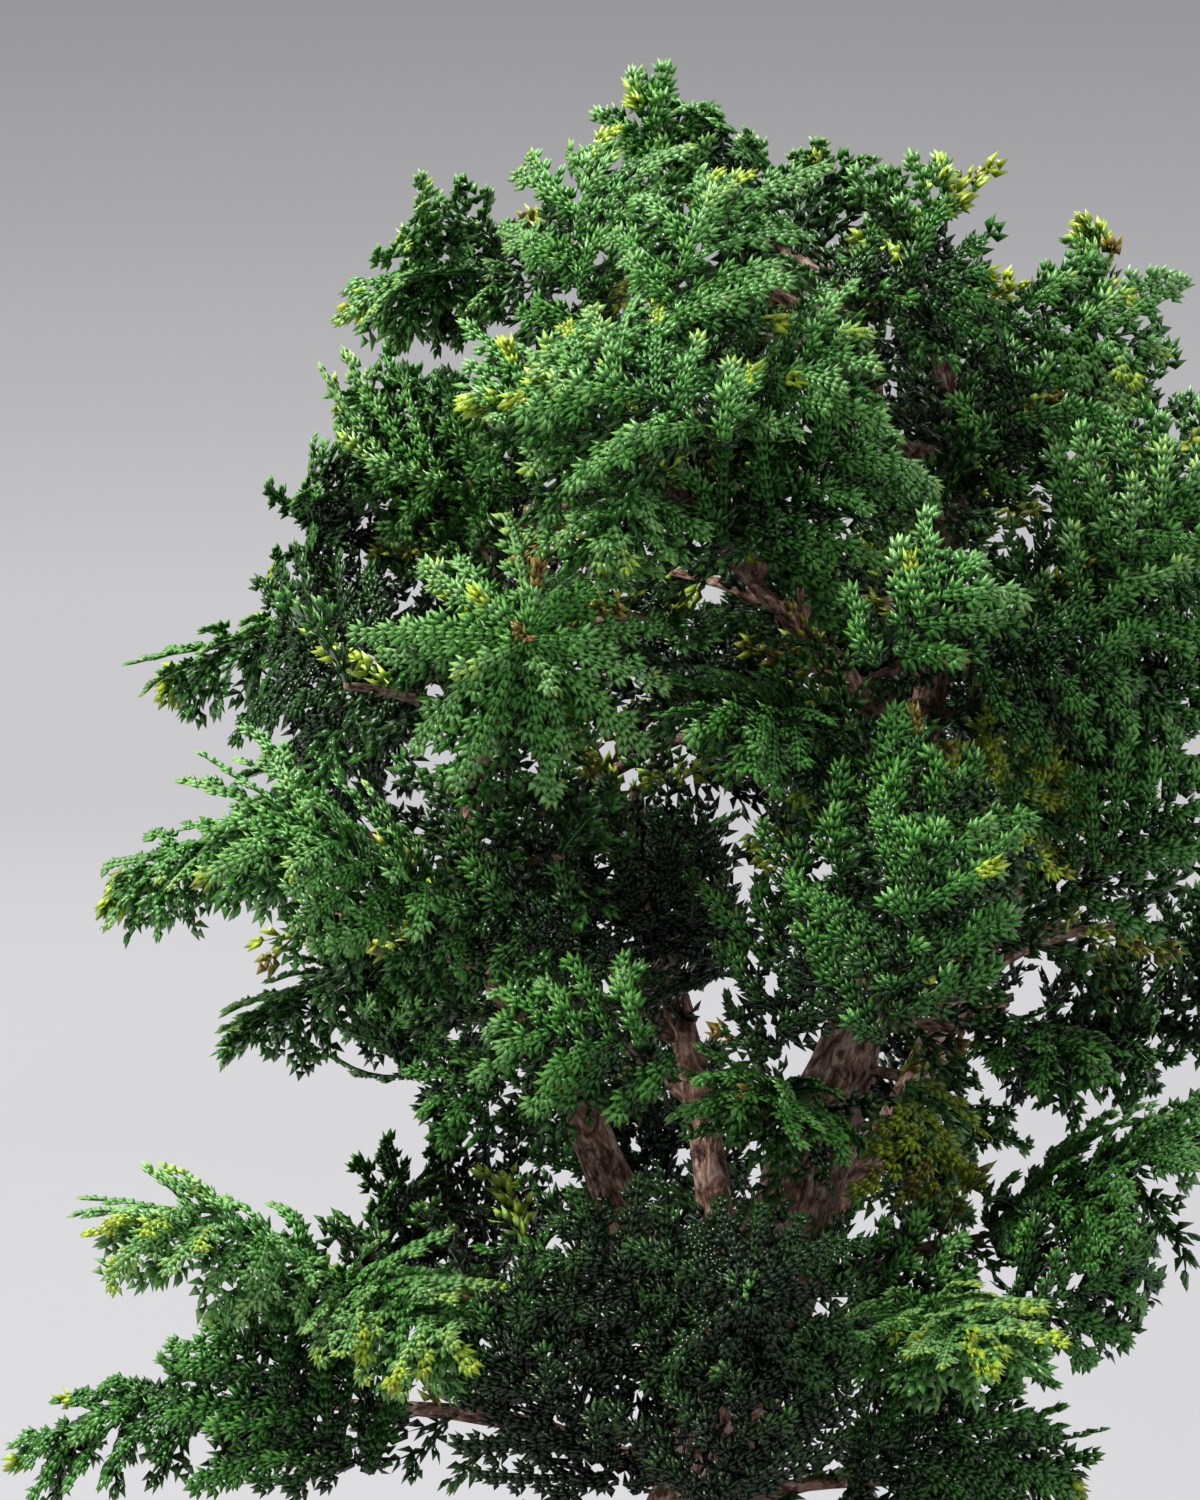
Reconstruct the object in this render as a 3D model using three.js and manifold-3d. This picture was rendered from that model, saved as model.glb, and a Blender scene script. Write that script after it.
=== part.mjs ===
// Hinoki cypress bonsai in a plain oval pot, in millimetres, +Z up.
// The origin is in the plane that the pot's feet stand on, under the middle of the whole plant.
// Wood is one grown piece. Each leafy branch is a node of its own, made of flat sprays with
// cut edges that stand out of the branch's end, and clears its neighbours by CLEARANCE.
import * as THREE from "three";
import { mergeVertices } from "three/addons/utils/BufferGeometryUtils.js";
import Module from "manifold-3d";

const wasm = await Module();
wasm.setup();

// ---- Driving dimensions ----

const CLEARANCE = 0.35; // gap between touching pieces

const POT = {
  length: 140,
  width: 106,
  height: 40,
  floor: 6,
  wall: 6,
  lip: 3, // how far the rim band stands off the wall
  band: 5, // height of the rim band
  taper: 15, // how much smaller in radius the underside is than the rim
  chamfer: 5, // the bevel round the underside, along the radius
  sides: 20,
};
const FOOT = { height: 5, radius: 8, underside: 6.5, x: 34, y: 22, sides: 8 };
const DRAIN = { radius: 6, x: 26, sides: 12 };

const SCREEN = { side: 19, thickness: 1, opening: 5, pitch: 8 };

const SOIL = { rimDrop: 3, crown: 4, lump: 0.9, rings: 5 };
const TRUNK = { sides: 8, steps: 13, flutes: 0.14 };
const BRANCH = { sides: 5, steps: 4 };
const TWIG = { tip: 0.7, taper: 0.02, lift: 0.06, straight: 16, sides: 3, thickSides: 4 };

const PLATE = {
  thickness: 0.9, // of the flat foliage along its ribs
  rib: 0.55, // half the width of a spray's middle rib
  twigRib: 0.45, // half the width of a frond's own rib
  stalk: 0.75, // radius of the stalk that bears a shell or a tuft
  lobe: 3.4, // how far the widest lobe stands off its rib
  sweep: 0.8, // how far a lobe leans forward, over its height off the rib
  notch: 0.36, // how deep the cut between two lobes stops, over their height
  room: 0.44, // share of the way to the next frond that a lobe may take up
  outward: 1.1, // lean of a spray's face out of the crown, over its lean upwards
};

// A fan is a middle rib with fronds on alternate sides.
const FAN = { spacing: 5.4, least: 4, most: 5, first: 0.15, last: 0.56, arch: 0.1, cup: 0.3 };

// A tuft is a ring of fronds round a stalk, hanging at their tips like an umbrella.
const TUFT = { spacing: 10, least: 6, most: 8, hub: 1.3, cup: 0.42 };

// A shell is a fan seen face on from outside the crown, borne on a stalk at its root.
const SHELL = { rise: 16, turn: 0.7, root: 0.5, width: 0.95 };

// ---- Stems: [x, y, z, radius] from the root up ----

const STEMS = {
  trunk: [
    [-4, 0, 26, 7], [-3.5, 0, 36, 10.5], [-2.5, 0, 42, 9.6], [0, 0, 52, 7.6], [3, -1, 64, 6.6],
    [8, -2, 80, 6], [14, -2, 98, 5.5], [19, 0, 115, 4.9], [23.5, 1, 128, 3.9], [28, 3, 141, 3],
    [31.5, 4, 156, 2.5], [34, 5, 173, 2.1], [36, 5, 189, 1.8], [37, 4, 204, 1.5], [35, 3, 216, 1.2],
    [32, 2, 225, 0.9],
  ],
  left: [
    [6, -2, 75, 3], [2, -9, 90, 3.2], [-4, -11, 108, 2.9], [-8, -12, 119, 2.6], [-13.5, -14, 130, 2],
    [-20, -16, 140, 1.6], [-22, -18, 150, 1.4], [-23, -21, 160, 1.2], [-20, -26, 172, 1],
    [-17, -29, 180, 0.8],
  ],
  back: [
    [10, 0, 86, 2.4], [8.5, 10, 98, 2.5], [6.5, 15, 114, 2.1], [3, 19, 131, 1.8], [-2.5, 21, 149, 1.6],
    [-9, 23, 165, 1.4], [-18, 26, 181, 1.1], [-25, 28, 194, 0.8],
  ],
  right: [
    [15, 0, 98, 2.4], [21, 8, 107, 2.5], [29, 13, 116, 2.3], [36, 17, 129, 2], [44, 20, 144, 1.8],
    [51, 20, 159, 1.5], [56, 18, 176, 1.3], [59, 15, 196, 1.1], [57, 13, 210, 0.8],
  ],
  front: [
    [34, 5, 171, 1.6], [27, -4, 172, 1.6], [21, -11, 179, 1.4], [14, -17, 186, 1.2], [6, -23, 195, 1],
    [0, -27, 203, 0.8],
  ],
  upper: [[37, 4, 202, 1.2], [28, -4, 206, 1.1], [26, -6, 215, 1], [22, -7, 225, 0.8]],
};

// ---- Leafy branches ----
// name, the stem that bears it, the height at which its twig leaves that stem, the twig's end,
// and its sprays: [tip, spread, kind, tone].

const BRANCHES = [
  ["apex", "upper", 224, [4, 2, 233], [[[-3, -2, 249], 15, "fan"], [[7, 5, 242], 17, "shell"]]],
  ["crown_left", "upper", 222, [-16, 8, 225], [
    [[-39, 14, 221], 20, "fan"], [[-25, 15, 227], 24, "shell"],
  ]],
  ["crown_centre", "upper", 219, [-1, -4, 226], [[[-8, -10, 230], 27, "shell"]]],
  ["crown_front", "upper", 213, [11, -20, 218], [[[4, -31, 226], 27, "shell"]]],
  ["crown_back", "trunk", 218, [19, 22, 227], [[[20, 30, 229], 27, "shell"]]],
  ["crown_sprig", "trunk", 224, [31, 3, 229], [[[35, 2, 238], 20, "fan"]]],
  ["crown_right", "trunk", 216, [34, -3, 221], [[[32, -12, 224], 23, "shell"]]],
  ["right_top", "right", 209, [53, 13, 217], [[[55, 13, 231], 15, "fan"], [[52, 2, 219], 22, "shell"]]],
  ["right_upper", "right", 203, [49, 8, 209], [[[43, -6, 206], 25, "shell"]]],
  ["right_far", "right", 198, [60, 24, 206], [[[67, 32, 196], 29, "shell"]]],
  ["right_shoulder", "right", 187, [57, 8, 195], [[[57, -8, 192], 31, "shell"]]],
  ["right_out", "right", 182, [64, 18, 189], [[[83, 21, 181], 31, "shell"]]],
  ["right_arm", "right", 170, [60, 14, 176], [[[62, 7, 174], 26, "shell"]]],
  ["front_tip", "front", 202.5, [-7, -29, 205], [[[-22, -38, 211], 26, "fan"]]],
  ["front_face", "front", 196, [-1, -28, 200], [
    [[-7, -46, 193], 20, "fan"], [[-3, -44, 211], 27, "shell"],
  ]],
  ["front_fan", "front", 193, [8, -26, 206], [[[24, -36, 219], 24, "fan"]]],
  ["mid_front", "front", 182, [17, -16, 193], [[[17, -31, 200], 33, "shell"]]],
  ["upper_centre", "trunk", 177, [31, -10, 181], [[[31, -45, 187], 25, "shell"]]],
  ["back_left_top", "back", 193, [-23, 28, 204], [
    [[-40, 34, 209], 22, "fan"], [[-28, 22, 201], 31, "shell"],
  ]],
  ["back_left_mid", "back", 183, [-29, 30, 189], [[[-41, 32, 191], 31, "shell"]]],
  ["back_left_arm", "back", 168, [-39, 26, 179], [[[-64, 31, 172], 22, "fan"]]],
  ["left_pad", "back", 164, [-30, 16, 175], [[[-39, 8, 177], 29, "shell"]]],
  ["rosette", "left", 179.5, [-17, -30, 176], [[[-16, -46, 183], 36, "tuft"]]],
  ["left_fan", "left", 146, [-24, -26, 148], [[[-53, -46, 161], 32, "fan"]]],
  ["left_far", "back", 144, [-41, 12, 155], [[[-70, 14, 146], 24, "fan"]]],
  ["left_low_pad", "back", 128, [-25, 21, 136], [
    [[-55, 31, 126], 24, "fan"], [[-33, 18, 131], 27, "shell"],
  ]],
  ["stem_low", "left", 144, [-19, -24, 147], [[[-16, -36, 149], 20, "shell"]]],
  ["low_fan", "left", 121, [-10, -20, 128], [[[-9, -48, 136], 22, "shell"]]],
  ["stem_pad", "left", 124, [-14, -17, 126], [[[-28, -24, 125], 17, "fan"]]],
  ["centre_high", "trunk", 158, [23, -16, 167], [[[5, -48, 173], 24, "fan"]]],
  ["centre_face", "trunk", 152, [27, -14, 161], [[[27, -42, 158], 28, "shell"]]],
  ["centre_left", "trunk", 140, [25, -12, 145], [[[15, -36, 143], 22, "shell"]]],
  ["centre_right", "trunk", 138, [29, -10, 145], [[[31, -57, 149], 31, "shell"]]],
  ["mid_sprig", "trunk", 118, [18, -8, 120], [[[9, -40, 127], 22, "fan"]]],
  ["inner_pad", "back", 140, [-3, 8, 161], [
    [[-2, -10, 150], 34, "shell"], [[2, -4, 179], 33, "shell"],
  ]],
  ["olive_column", "trunk", 150, [36, 1, 155], [[[43, -10, 161], 24, "shell", "olive"]]],
  ["olive_hang", "trunk", 126, [30, -3, 126], [[[34, -12, 111], 20, "fan", "olive"]]],
  ["right_pad", "right", 160, [51, 12, 167], [[[47, -18, 178], 27, "shell"]]],
  ["right_low", "right", 152, [54, 14, 158], [[[57, -12, 157], 27, "shell"]]],
  ["right_back", "right", 140, [56, 28, 141], [[[68, 42, 132], 31, "shell"]]],
  ["right_under", "right", 128, [45, 24, 132], [[[55, 34, 127], 32, "shell"]]],
  ["right_sprig", "trunk", 131, [38, -5, 132], [[[53, -22, 129], 18, "fan"]]],
  ["low_right_fan", "trunk", 96, [40, -12, 107], [
    [[66, -34, 121], 28, "fan"], [[50, -27, 104], 26, "shell"],
  ]],
  ["low_left_fan", "left", 88, [-38, -22, 103], [
    [[-67, -42, 113], 24, "fan"], [[-23, -54, 99], 22, "fan"],
  ]],
  ["low_left_arm", "trunk", 74, [-41, -10, 86], [
    [[-80, -10, 79], 22, "fan"], [[-45, -26, 90], 29, "shell"],
  ]],
  ["low_left_pad", "trunk", 90, [-17, 10, 102], [[[-26, 18, 103], 32, "shell"]]],
  ["low_front_left", "left", 90, [-6, -20, 102], [
    [[-4, -50, 107], 24, "shell"], [[-12, -46, 93], 31, "shell"],
  ]],
  ["low_front_right", "trunk", 88, [10, -15, 96], [
    [[10, -60, 108], 27, "tuft"], [[9, -54, 91], 30, "shell"],
  ]],
  ["low_right_front", "trunk", 84, [25, -15, 94], [[[38, -58, 100], 26, "fan"]]],
  ["low_right_arm", "trunk", 70, [30, -8, 76], [
    [[51, -24, 79], 24, "fan"], [[32, -36, 86], 27, "shell"],
  ]],
  ["rear_crown", "back", 190, [-8, 36, 196], [
    [[-2, 50, 206], 34, "shell"], [[-26, 46, 192], 30, "shell"],
  ]],
  ["rear_shoulder", "trunk", 195, [36, 24, 200], [
    [[36, 46, 206], 34, "shell"], [[14, 44, 220], 25, "shell"],
  ]],
  ["rear_middle", "trunk", 160, [24, 30, 166], [
    [[20, 56, 170], 37, "shell"], [[48, 50, 170], 32, "shell"],
  ]],
  ["rear_left", "back", 120, [-14, 38, 130], [
    [[-26, 54, 134], 34, "shell"], [[-44, 50, 158], 32, "shell"],
  ]],
  ["rear_low", "trunk", 92, [8, 34, 104], [[[0, 62, 106], 37, "shell"], [[34, 54, 112], 34, "shell"]]],
];

// ---- Small helpers ----

const vec = (p) => new THREE.Vector3(p[0], p[1], p[2]);
const UP = new THREE.Vector3(0, 0, 1);
const CROWN_AXIS = new THREE.Vector2(12, 12); // middle of the crown, seen from above

/** A repeatable number from 0 to 1 for two whole numbers. */
function chance(a, b) {
  const x = Math.sin(a * 12.9898 + b * 78.233) * 43758.5453;
  return x - Math.floor(x);
}

/** Triangles over points as a BufferGeometry. */
function geometryOf(points, faces) {
  const flat = new Float32Array(points.flatMap((p) => [p.x, p.y, p.z]));
  return new THREE.BufferGeometry()
    .setAttribute("position", new THREE.BufferAttribute(flat, 3))
    .setIndex(faces.flat());
}

/** A closed geometry as a manifold-3d solid. */
function solidOf(geometry) {
  const bare = new THREE.BufferGeometry().setAttribute("position", geometry.getAttribute("position"));
  bare.setIndex(geometry.index);
  const merged = mergeVertices(bare, 1e-4);
  const solid = new wasm.Manifold(
    new wasm.Mesh({
      numProp: 3,
      vertProperties: merged.attributes.position.array,
      triVerts: new Uint32Array(merged.index.array),
    }),
  );
  return solid;
}

/** A manifold-3d solid as a BufferGeometry. */
function geometryFrom(solid) {
  const mesh = solid.getMesh();
  const geometry = new THREE.BufferGeometry()
    .setAttribute("position", new THREE.BufferAttribute(new Float32Array(mesh.vertProperties), 3))
    .setIndex(new THREE.BufferAttribute(new Uint32Array(mesh.triVerts), 1));
  geometry.computeVertexNormals();
  return geometry;
}

const joined = (solids) => solids.reduce((all, next) => all.add(next));

/** The body of a solid that has the vertex nearest to a point. */
function bodyNear(solid, point) {
  let best = null;
  let least = Infinity;
  for (const body of solid.decompose()) {
    const mesh = body.getMesh();
    for (let i = 0; i < mesh.vertProperties.length; i += mesh.numProp) {
      const at = vec(mesh.vertProperties.subarray(i, i + 3));
      const gap = at.distanceTo(point);
      if (gap < least) [least, best] = [gap, body];
    }
  }
  return best;
}

// ---- Wood ----

/** A closed tube through [x, y, z, radius] rows, fluted if asked, grown by some clearance. */
function limb(rows, sides, steps, { grow = 0, flutes = 0 } = {}) {
  const curve = new THREE.CatmullRomCurve3(rows.map(vec), false, "centripetal");
  const frames = curve.computeFrenetFrames(steps, false);
  const points = [];
  const faces = [];
  for (let i = 0; i <= steps; i++) {
    const along = (i / steps) * (rows.length - 1);
    const row = Math.min(Math.floor(along), rows.length - 2);
    const radius = THREE.MathUtils.lerp(rows[row][3], rows[row + 1][3], along - row) + grow;
    const end = i === 0 ? -grow : i === steps ? grow : 0;
    const centre = curve.getPoint(i / steps).addScaledVector(frames.tangents[i], end);
    for (let k = 0; k < sides; k++) {
      const turn = (2 * Math.PI * k) / sides;
      const flute = 1 + flutes * Math.max(0, 1 - i / 4) * Math.cos(4 * turn);
      points.push(
        centre
          .clone()
          .addScaledVector(frames.normals[i], radius * flute * Math.cos(turn))
          .addScaledVector(frames.binormals[i], radius * flute * Math.sin(turn)),
      );
    }
  }
  const ring = (i, k) => i * sides + (k % sides);
  for (let i = 0; i < steps; i++)
    for (let k = 0; k < sides; k++) {
      faces.push([ring(i, k), ring(i, k + 1), ring(i + 1, k + 1)]);
      faces.push([ring(i, k), ring(i + 1, k + 1), ring(i + 1, k)]);
    }
  for (let k = 1; k < sides - 1; k++) {
    faces.push([ring(0, 0), ring(0, k + 1), ring(0, k)]);
    faces.push([ring(steps, 0), ring(steps, k), ring(steps, k + 1)]);
  }
  return solidOf(geometryOf(points, faces));
}

/** The point on a stem at a height, with the stem's radius there. */
function onStem(stem, height) {
  const rows = STEMS[stem];
  const found = rows.findIndex((row) => row[2] >= height);
  const i = found < 0 ? rows.length - 1 : Math.max(1, found);
  const [low, high] = [rows[i - 1], rows[i]];
  const t = THREE.MathUtils.clamp((height - low[2]) / (high[2] - low[2]), 0, 1);
  return { point: vec(low).lerp(vec(high), t), radius: THREE.MathUtils.lerp(low[3], high[3], t) };
}

/** The rows of a twig from its stem to its leafy end, a little arched. */
function twigRows([, stem, height, end]) {
  const start = onStem(stem, height);
  const tip = vec(end);
  const length = start.point.distanceTo(tip);
  const middle = start.point.clone().lerp(tip, 0.55).addScaledVector(UP, TWIG.lift * length);
  const thick = Math.min(start.radius * 0.8, TWIG.tip + TWIG.taper * length);
  return [
    [...start.point.toArray(), thick],
    [...middle.toArray(), (thick + TWIG.tip) / 2],
    [...tip.toArray(), TWIG.tip],
  ];
}

/** The trunk alone, grown by some clearance. */
function trunkSolid(grow) {
  return limb(STEMS.trunk, TRUNK.sides, TRUNK.steps, { grow, flutes: TRUNK.flutes });
}

/** The trunk, its branches and all twigs as one solid, grown by some clearance. */
function woodSolid(grow = 0) {
  const { trunk, ...others } = STEMS;
  const branches = Object.values(others).map((rows) =>
    limb(rows, BRANCH.sides, Math.max(BRANCH.steps, rows.length - 2), { grow }),
  );
  const twigs = BRANCHES.map(twigRows).map((rows) => {
    const arched = vec(rows[0]).distanceTo(vec(rows.at(-1))) > TWIG.straight;
    const sides = rows[0][3] > 1 ? TWIG.thickSides : TWIG.sides;
    return arched ? limb(rows, sides, 2, { grow }) : limb([rows[0], rows.at(-1)], sides, 1, { grow });
  });
  return joined([trunkSolid(grow), ...branches, ...twigs]);
}

// ---- Foliage ----

/** The flat frame of a spray: where it starts, the way it grows, its face and its size. */
function sprayPlan(base, [aim, spread, kind], seed) {
  const middle = vec(aim);
  const axis = middle.clone().sub(base);
  const reach = axis.length();
  axis.normalize();
  const outward = new THREE.Vector3((middle.x - CROWN_AXIS.x) / 2, middle.y - CROWN_AXIS.y, 0).normalize();
  const across = (v) => v.addScaledVector(axis, -v.dot(axis)).normalize();
  if (kind === "fan") {
    const face = across(UP.clone().addScaledVector(outward, PLATE.outward));
    return { kind, seed, spread, reach, root: base, way: axis, face };
  }
  const away = new THREE.Vector3(middle.x - CROWN_AXIS.x, 0, SHELL.rise).normalize();
  const way = across(away).applyAxisAngle(axis, SHELL.turn * (2 * chance(seed, 31) - 1));
  if (kind === "tuft") return { kind, seed, spread, reach, root: middle, way, face: axis };
  const root = middle.clone().addScaledVector(way, -SHELL.root * spread);
  return { kind, seed, spread: SHELL.width * spread, reach: spread, root, way, face: axis };
}

/** The point of a spray at (along, across) in its flat frame and some way above its face. */
function onSpray({ kind, spread, reach, root, way, face }, along, across, above) {
  const side = face.clone().cross(way);
  const share = along / reach;
  const height =
    kind === "tuft"
      ? (-TUFT.cup * (along * along + across * across)) / (spread / 2)
      : 4 * FAN.arch * reach * share * (1 - share) - (FAN.cup * across * across) / (spread / 2);
  return root
    .clone()
    .addScaledVector(way, along)
    .addScaledVector(side, across)
    .addScaledVector(face, height + above);
}

/** One edge of a frond past its root: [along, off the rib, 1 at a pointed tip], in turn. */
function frondEdge(length, lobes, rib, reach, first) {
  const step = (length - first) / (lobes + 0.6);
  const edge = [];
  for (let i = 0; i < lobes; i++) {
    const height = reach * (1 - (0.3 * i) / lobes);
    const at = first + step * i + PLATE.sweep * height;
    edge.push([at, height, 1]);
    edge.push([Math.max(at, first + step * (i + 1)), Math.max(rib, PLATE.notch * height), 0]);
  }
  return edge;
}

/**
 * The outline of a frond that leaves (along, 0) at an angle, from its near edge round its tip
 * to its far edge, as [along, across, 1 at a pointed tip].
 */
function frondOutline({ along, angle, length, lobes, rib, reach, first }, grow) {
  const near = frondEdge(length, lobes[0], rib + grow, reach + grow, first);
  const far = frondEdge(length, lobes[1], rib + grow, reach + grow, first);
  const local = [
    ...near,
    [length + grow, 0, 1],
    ...far.reverse().map(([s, t, sharp]) => [s, -t, sharp]),
  ];
  const [c, n] = [Math.cos(angle), Math.sin(angle)];
  return local.map(([s, t, sharp]) => [along + s * c - t * n, s * n + t * c, sharp]);
}

/** The fronds of a fan's two sides, each from root to tip, and the one at its end. */
function fanFronds({ reach, spread, seed }) {
  const count = THREE.MathUtils.clamp(Math.round(reach / FAN.spacing) + 1, FAN.least, FAN.most);
  const step = ((FAN.last - FAN.first) * reach) / (count - 1);
  const sides = [[], []];
  for (let i = 0; i < count; i++) {
    const share = i / (count - 1);
    const angle = 0.95 - 0.25 * share;
    const swell = 0.72 + 0.36 * Math.sin(Math.PI * (0.15 + 0.75 * share));
    const length = 0.64 * spread * swell * (0.88 + 0.24 * chance(seed, i));
    const room = PLATE.room * 2 * step * Math.sin(angle);
    sides[(i + seed) % 2].push({
      along: reach * FAN.first + step * i,
      angle,
      length,
      lobes: length > 14 ? [1, 2] : [1, 1],
      rib: PLATE.twigRib,
      reach: Math.min(PLATE.lobe, room),
      first: 0.2 * length,
    });
  }
  const start = reach * FAN.last + 0.6;
  const length = reach - start;
  const end = { along: start, angle: 0, length, rib: PLATE.rib, first: 0.42 * length };
  return { sides, end: { ...end, lobes: [1, 1], reach: Math.min(PLATE.lobe, 0.22 * length) } };
}

/** The outline of a fan, from the right of its root round its end to the left. */
function fanOutline(plan, grow) {
  const { sides, end } = fanFronds(plan);
  const rib = PLATE.rib + grow;
  const edges = sides.map((fronds) =>
    fronds.flatMap((frond) => {
      const half = (frond.rib + grow) / Math.sin(frond.angle);
      const foot = frond.along + rib / Math.tan(frond.angle);
      return [[foot - half, rib, 0], ...frondOutline(frond, grow), [foot + half, rib, 0]];
    }),
  );
  const left = [[-grow, rib, 0], ...edges[0]];
  const right = [[-grow, rib, 0], ...edges[1]].map(([u, v, sharp]) => [u, -v, sharp]);
  const neck = end.along + end.first;
  const tip = [[neck, -rib, 0], ...frondOutline(end, grow).reverse(), [neck, rib, 0]];
  return [...right, ...tip, ...left.reverse()];
}

/** The outline of a tuft, round its hub. */
function tuftOutline({ spread, seed }, grow) {
  const count = THREE.MathUtils.clamp(Math.round((Math.PI * spread) / TUFT.spacing), TUFT.least, TUFT.most);
  const slot = (2 * Math.PI) / count;
  return Array.from({ length: count }, (_, i) => {
    const length = (spread / 2) * (0.8 + 0.32 * chance(seed, i));
    const first = 0.3 * length;
    const angle = slot * (i + 0.16 * (chance(seed, i + 9) - 0.5));
    const reach = Math.min(PLATE.lobe, PLATE.room * slot * 0.42 * length);
    const lobes = [1, 1];
    const frond = { along: 0, angle, length, lobes, rib: PLATE.twigRib, reach, first };
    const outline = frondOutline(frond, grow).reverse();
    const gap = slot * (i + 0.5);
    outline.push([(TUFT.hub + grow) * Math.cos(gap), (TUFT.hub + grow) * Math.sin(gap), 0]);
    return outline;
  }).flat();
}

/** A thin plate of an outline, bent over its spray's surface, with its tips drawn to points. */
function plateSolid(plan, outline, grow) {
  const half = PLATE.thickness / 2 + grow;
  const flat = outline.map(([u, v]) => new THREE.Vector2(u, v));
  const faces = THREE.ShapeUtils.triangulateShape(flat, []);
  const count = outline.length;
  const points = [1, -1].flatMap((up) =>
    outline.map(([u, v, sharp]) => onSpray(plan, u, v, sharp && grow === 0 ? 0 : up * half)),
  );
  const lowerOf = (i) => (outline[i][2] && grow === 0 ? i : i + count);
  const walls = outline.flatMap((_, i) => {
    const next = (i + 1) % count;
    return [[i, lowerOf(i), lowerOf(next)], [i, lowerOf(next), next]];
  });
  const lower = faces.map(([a, b, c]) => [lowerOf(a), lowerOf(c), lowerOf(b)]);
  const all = [...faces, ...lower, ...walls].filter(([a, b, c]) => a !== b && b !== c && c !== a);
  return solidOf(geometryOf(points, all));
}

/** Where the sprays of a branch start: just past the blunt end of its twig. */
function leafyEnd(branch) {
  const rows = twigRows(branch);
  const [from, to] = [vec(rows.at(-2)), vec(rows.at(-1))];
  return to.clone().addScaledVector(to.clone().sub(from).normalize(), PLATE.rib + CLEARANCE);
}

/** The solids of one leafy branch, grown by some clearance. */
function branchSolids(branch, seed, grow = 0) {
  const base = leafyEnd(branch);
  const sprays = branch[4];
  return sprays.flatMap((spray, i) => {
    const plan = sprayPlan(base, spray, seed * 2 + i);
    const outline = plan.kind === "tuft" ? tuftOutline(plan, grow) : fanOutline(plan, grow);
    const plate = plateSolid(plan, outline, grow);
    if (plan.kind === "fan") return [plate];
    const foot = onSpray(plan, PLATE.rib, 0, 0);
    return [plate, limb([base, foot].map((p) => [...p.toArray(), PLATE.stalk]), 3, 1, { grow })];
  });
}

function foliageMeshes() {
  const placed = [woodSolid(CLEARANCE)];
  return BRANCHES.map((branch, seed) => {
    let solid = joined(branchSolids(branch, seed + 1));
    for (const other of placed)
      if (solid.intersect(other).volume() > 0) solid = solid.subtract(other);
    placed.push(joined(branchSolids(branch, seed + 1, CLEARANCE)));
    const [name, , , , [[, , , tone = "green"]]] = branch;
    return meshOf(`foliage_${name}`, bodyNear(solid, leafyEnd(branch)), MATERIALS[tone]);
  });
}

// ---- Pot, screens and soil ----

/** A closed profile of [radius, height] points turned round Z and squeezed to the pot's oval. */
function ovalLathe(profile, sides) {
  const turned = new THREE.LatheGeometry(profile.map(([r, z]) => new THREE.Vector2(r, z)), sides);
  return turned.rotateX(Math.PI / 2).scale(1, POT.width / POT.length, 1);
}

const potFloor = FOOT.height + POT.floor; // height of the floor's upper face
const waist = POT.height * 0.5; // height at which the pot's wall is bent
const rimRadius = POT.length / 2;
const innerRadius = rimRadius - POT.lip - POT.wall;

/** The oval pot with its rim band, four feet and two drainage holes. */
function potSolid() {
  const under = rimRadius - POT.taper;
  const profile = [
    [0, FOOT.height], [under, FOOT.height], [under + POT.chamfer, FOOT.height + 3],
    [rimRadius - POT.lip - 2, waist], [rimRadius - POT.lip, POT.height - POT.band - 1],
    [rimRadius, POT.height - POT.band], [rimRadius, POT.height],
    [innerRadius + 3, POT.height], [innerRadius, POT.height - POT.band],
    [innerRadius - 3, waist], [under - 3, potFloor], [0, potFloor],
  ];
  const sunk = 1; // how far a foot reaches into the underside
  const foot = new THREE.CylinderGeometry(FOOT.radius, FOOT.underside, FOOT.height + sunk, FOOT.sides);
  foot.rotateX(Math.PI / 2).translate(0, 0, (FOOT.height + sunk) / 2);
  const feet = [-1, 1].flatMap((x) =>
    [-1, 1].map((y) => solidOf(foot.clone().translate(x * FOOT.x, y * FOOT.y, 0))),
  );
  const drain = new THREE.CylinderGeometry(DRAIN.radius, DRAIN.radius, 3 * POT.floor, DRAIN.sides);
  drain.rotateX(Math.PI / 2).translate(0, 0, FOOT.height + POT.floor / 2);
  const drains = [-1, 1].map((x) => solidOf(drain.clone().translate(x * DRAIN.x, 0, 0)));
  const body = solidOf(ovalLathe(profile, POT.sides));
  return joined([body, ...feet]).subtract(joined(drains));
}

/** A square of plastic sheet with diamond openings. */
function screenSolid(x) {
  const { side, thickness, opening, pitch } = SCREEN;
  const square = (size, turn) =>
    [1, 3, 5, 7].map((k) => {
      const angle = (k * Math.PI) / 4 + turn;
      return new THREE.Vector2(Math.cos(angle), Math.sin(angle)).multiplyScalar(size * Math.SQRT1_2);
    });
  const sheet = new THREE.Shape(square(side, 0));
  for (const [i, j] of [[0, 0], [1, 1], [1, -1], [-1, 1], [-1, -1]]) {
    const middle = new THREE.Vector2(i, j).multiplyScalar(pitch / 2);
    sheet.holes.push(new THREE.Path(square(opening, Math.PI / 4).map((p) => p.add(middle))));
  }
  const plate = new THREE.ExtrudeGeometry(sheet, { depth: thickness, bevelEnabled: false });
  return solidOf(plate.translate(x, 0, potFloor + CLEARANCE));
}

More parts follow.
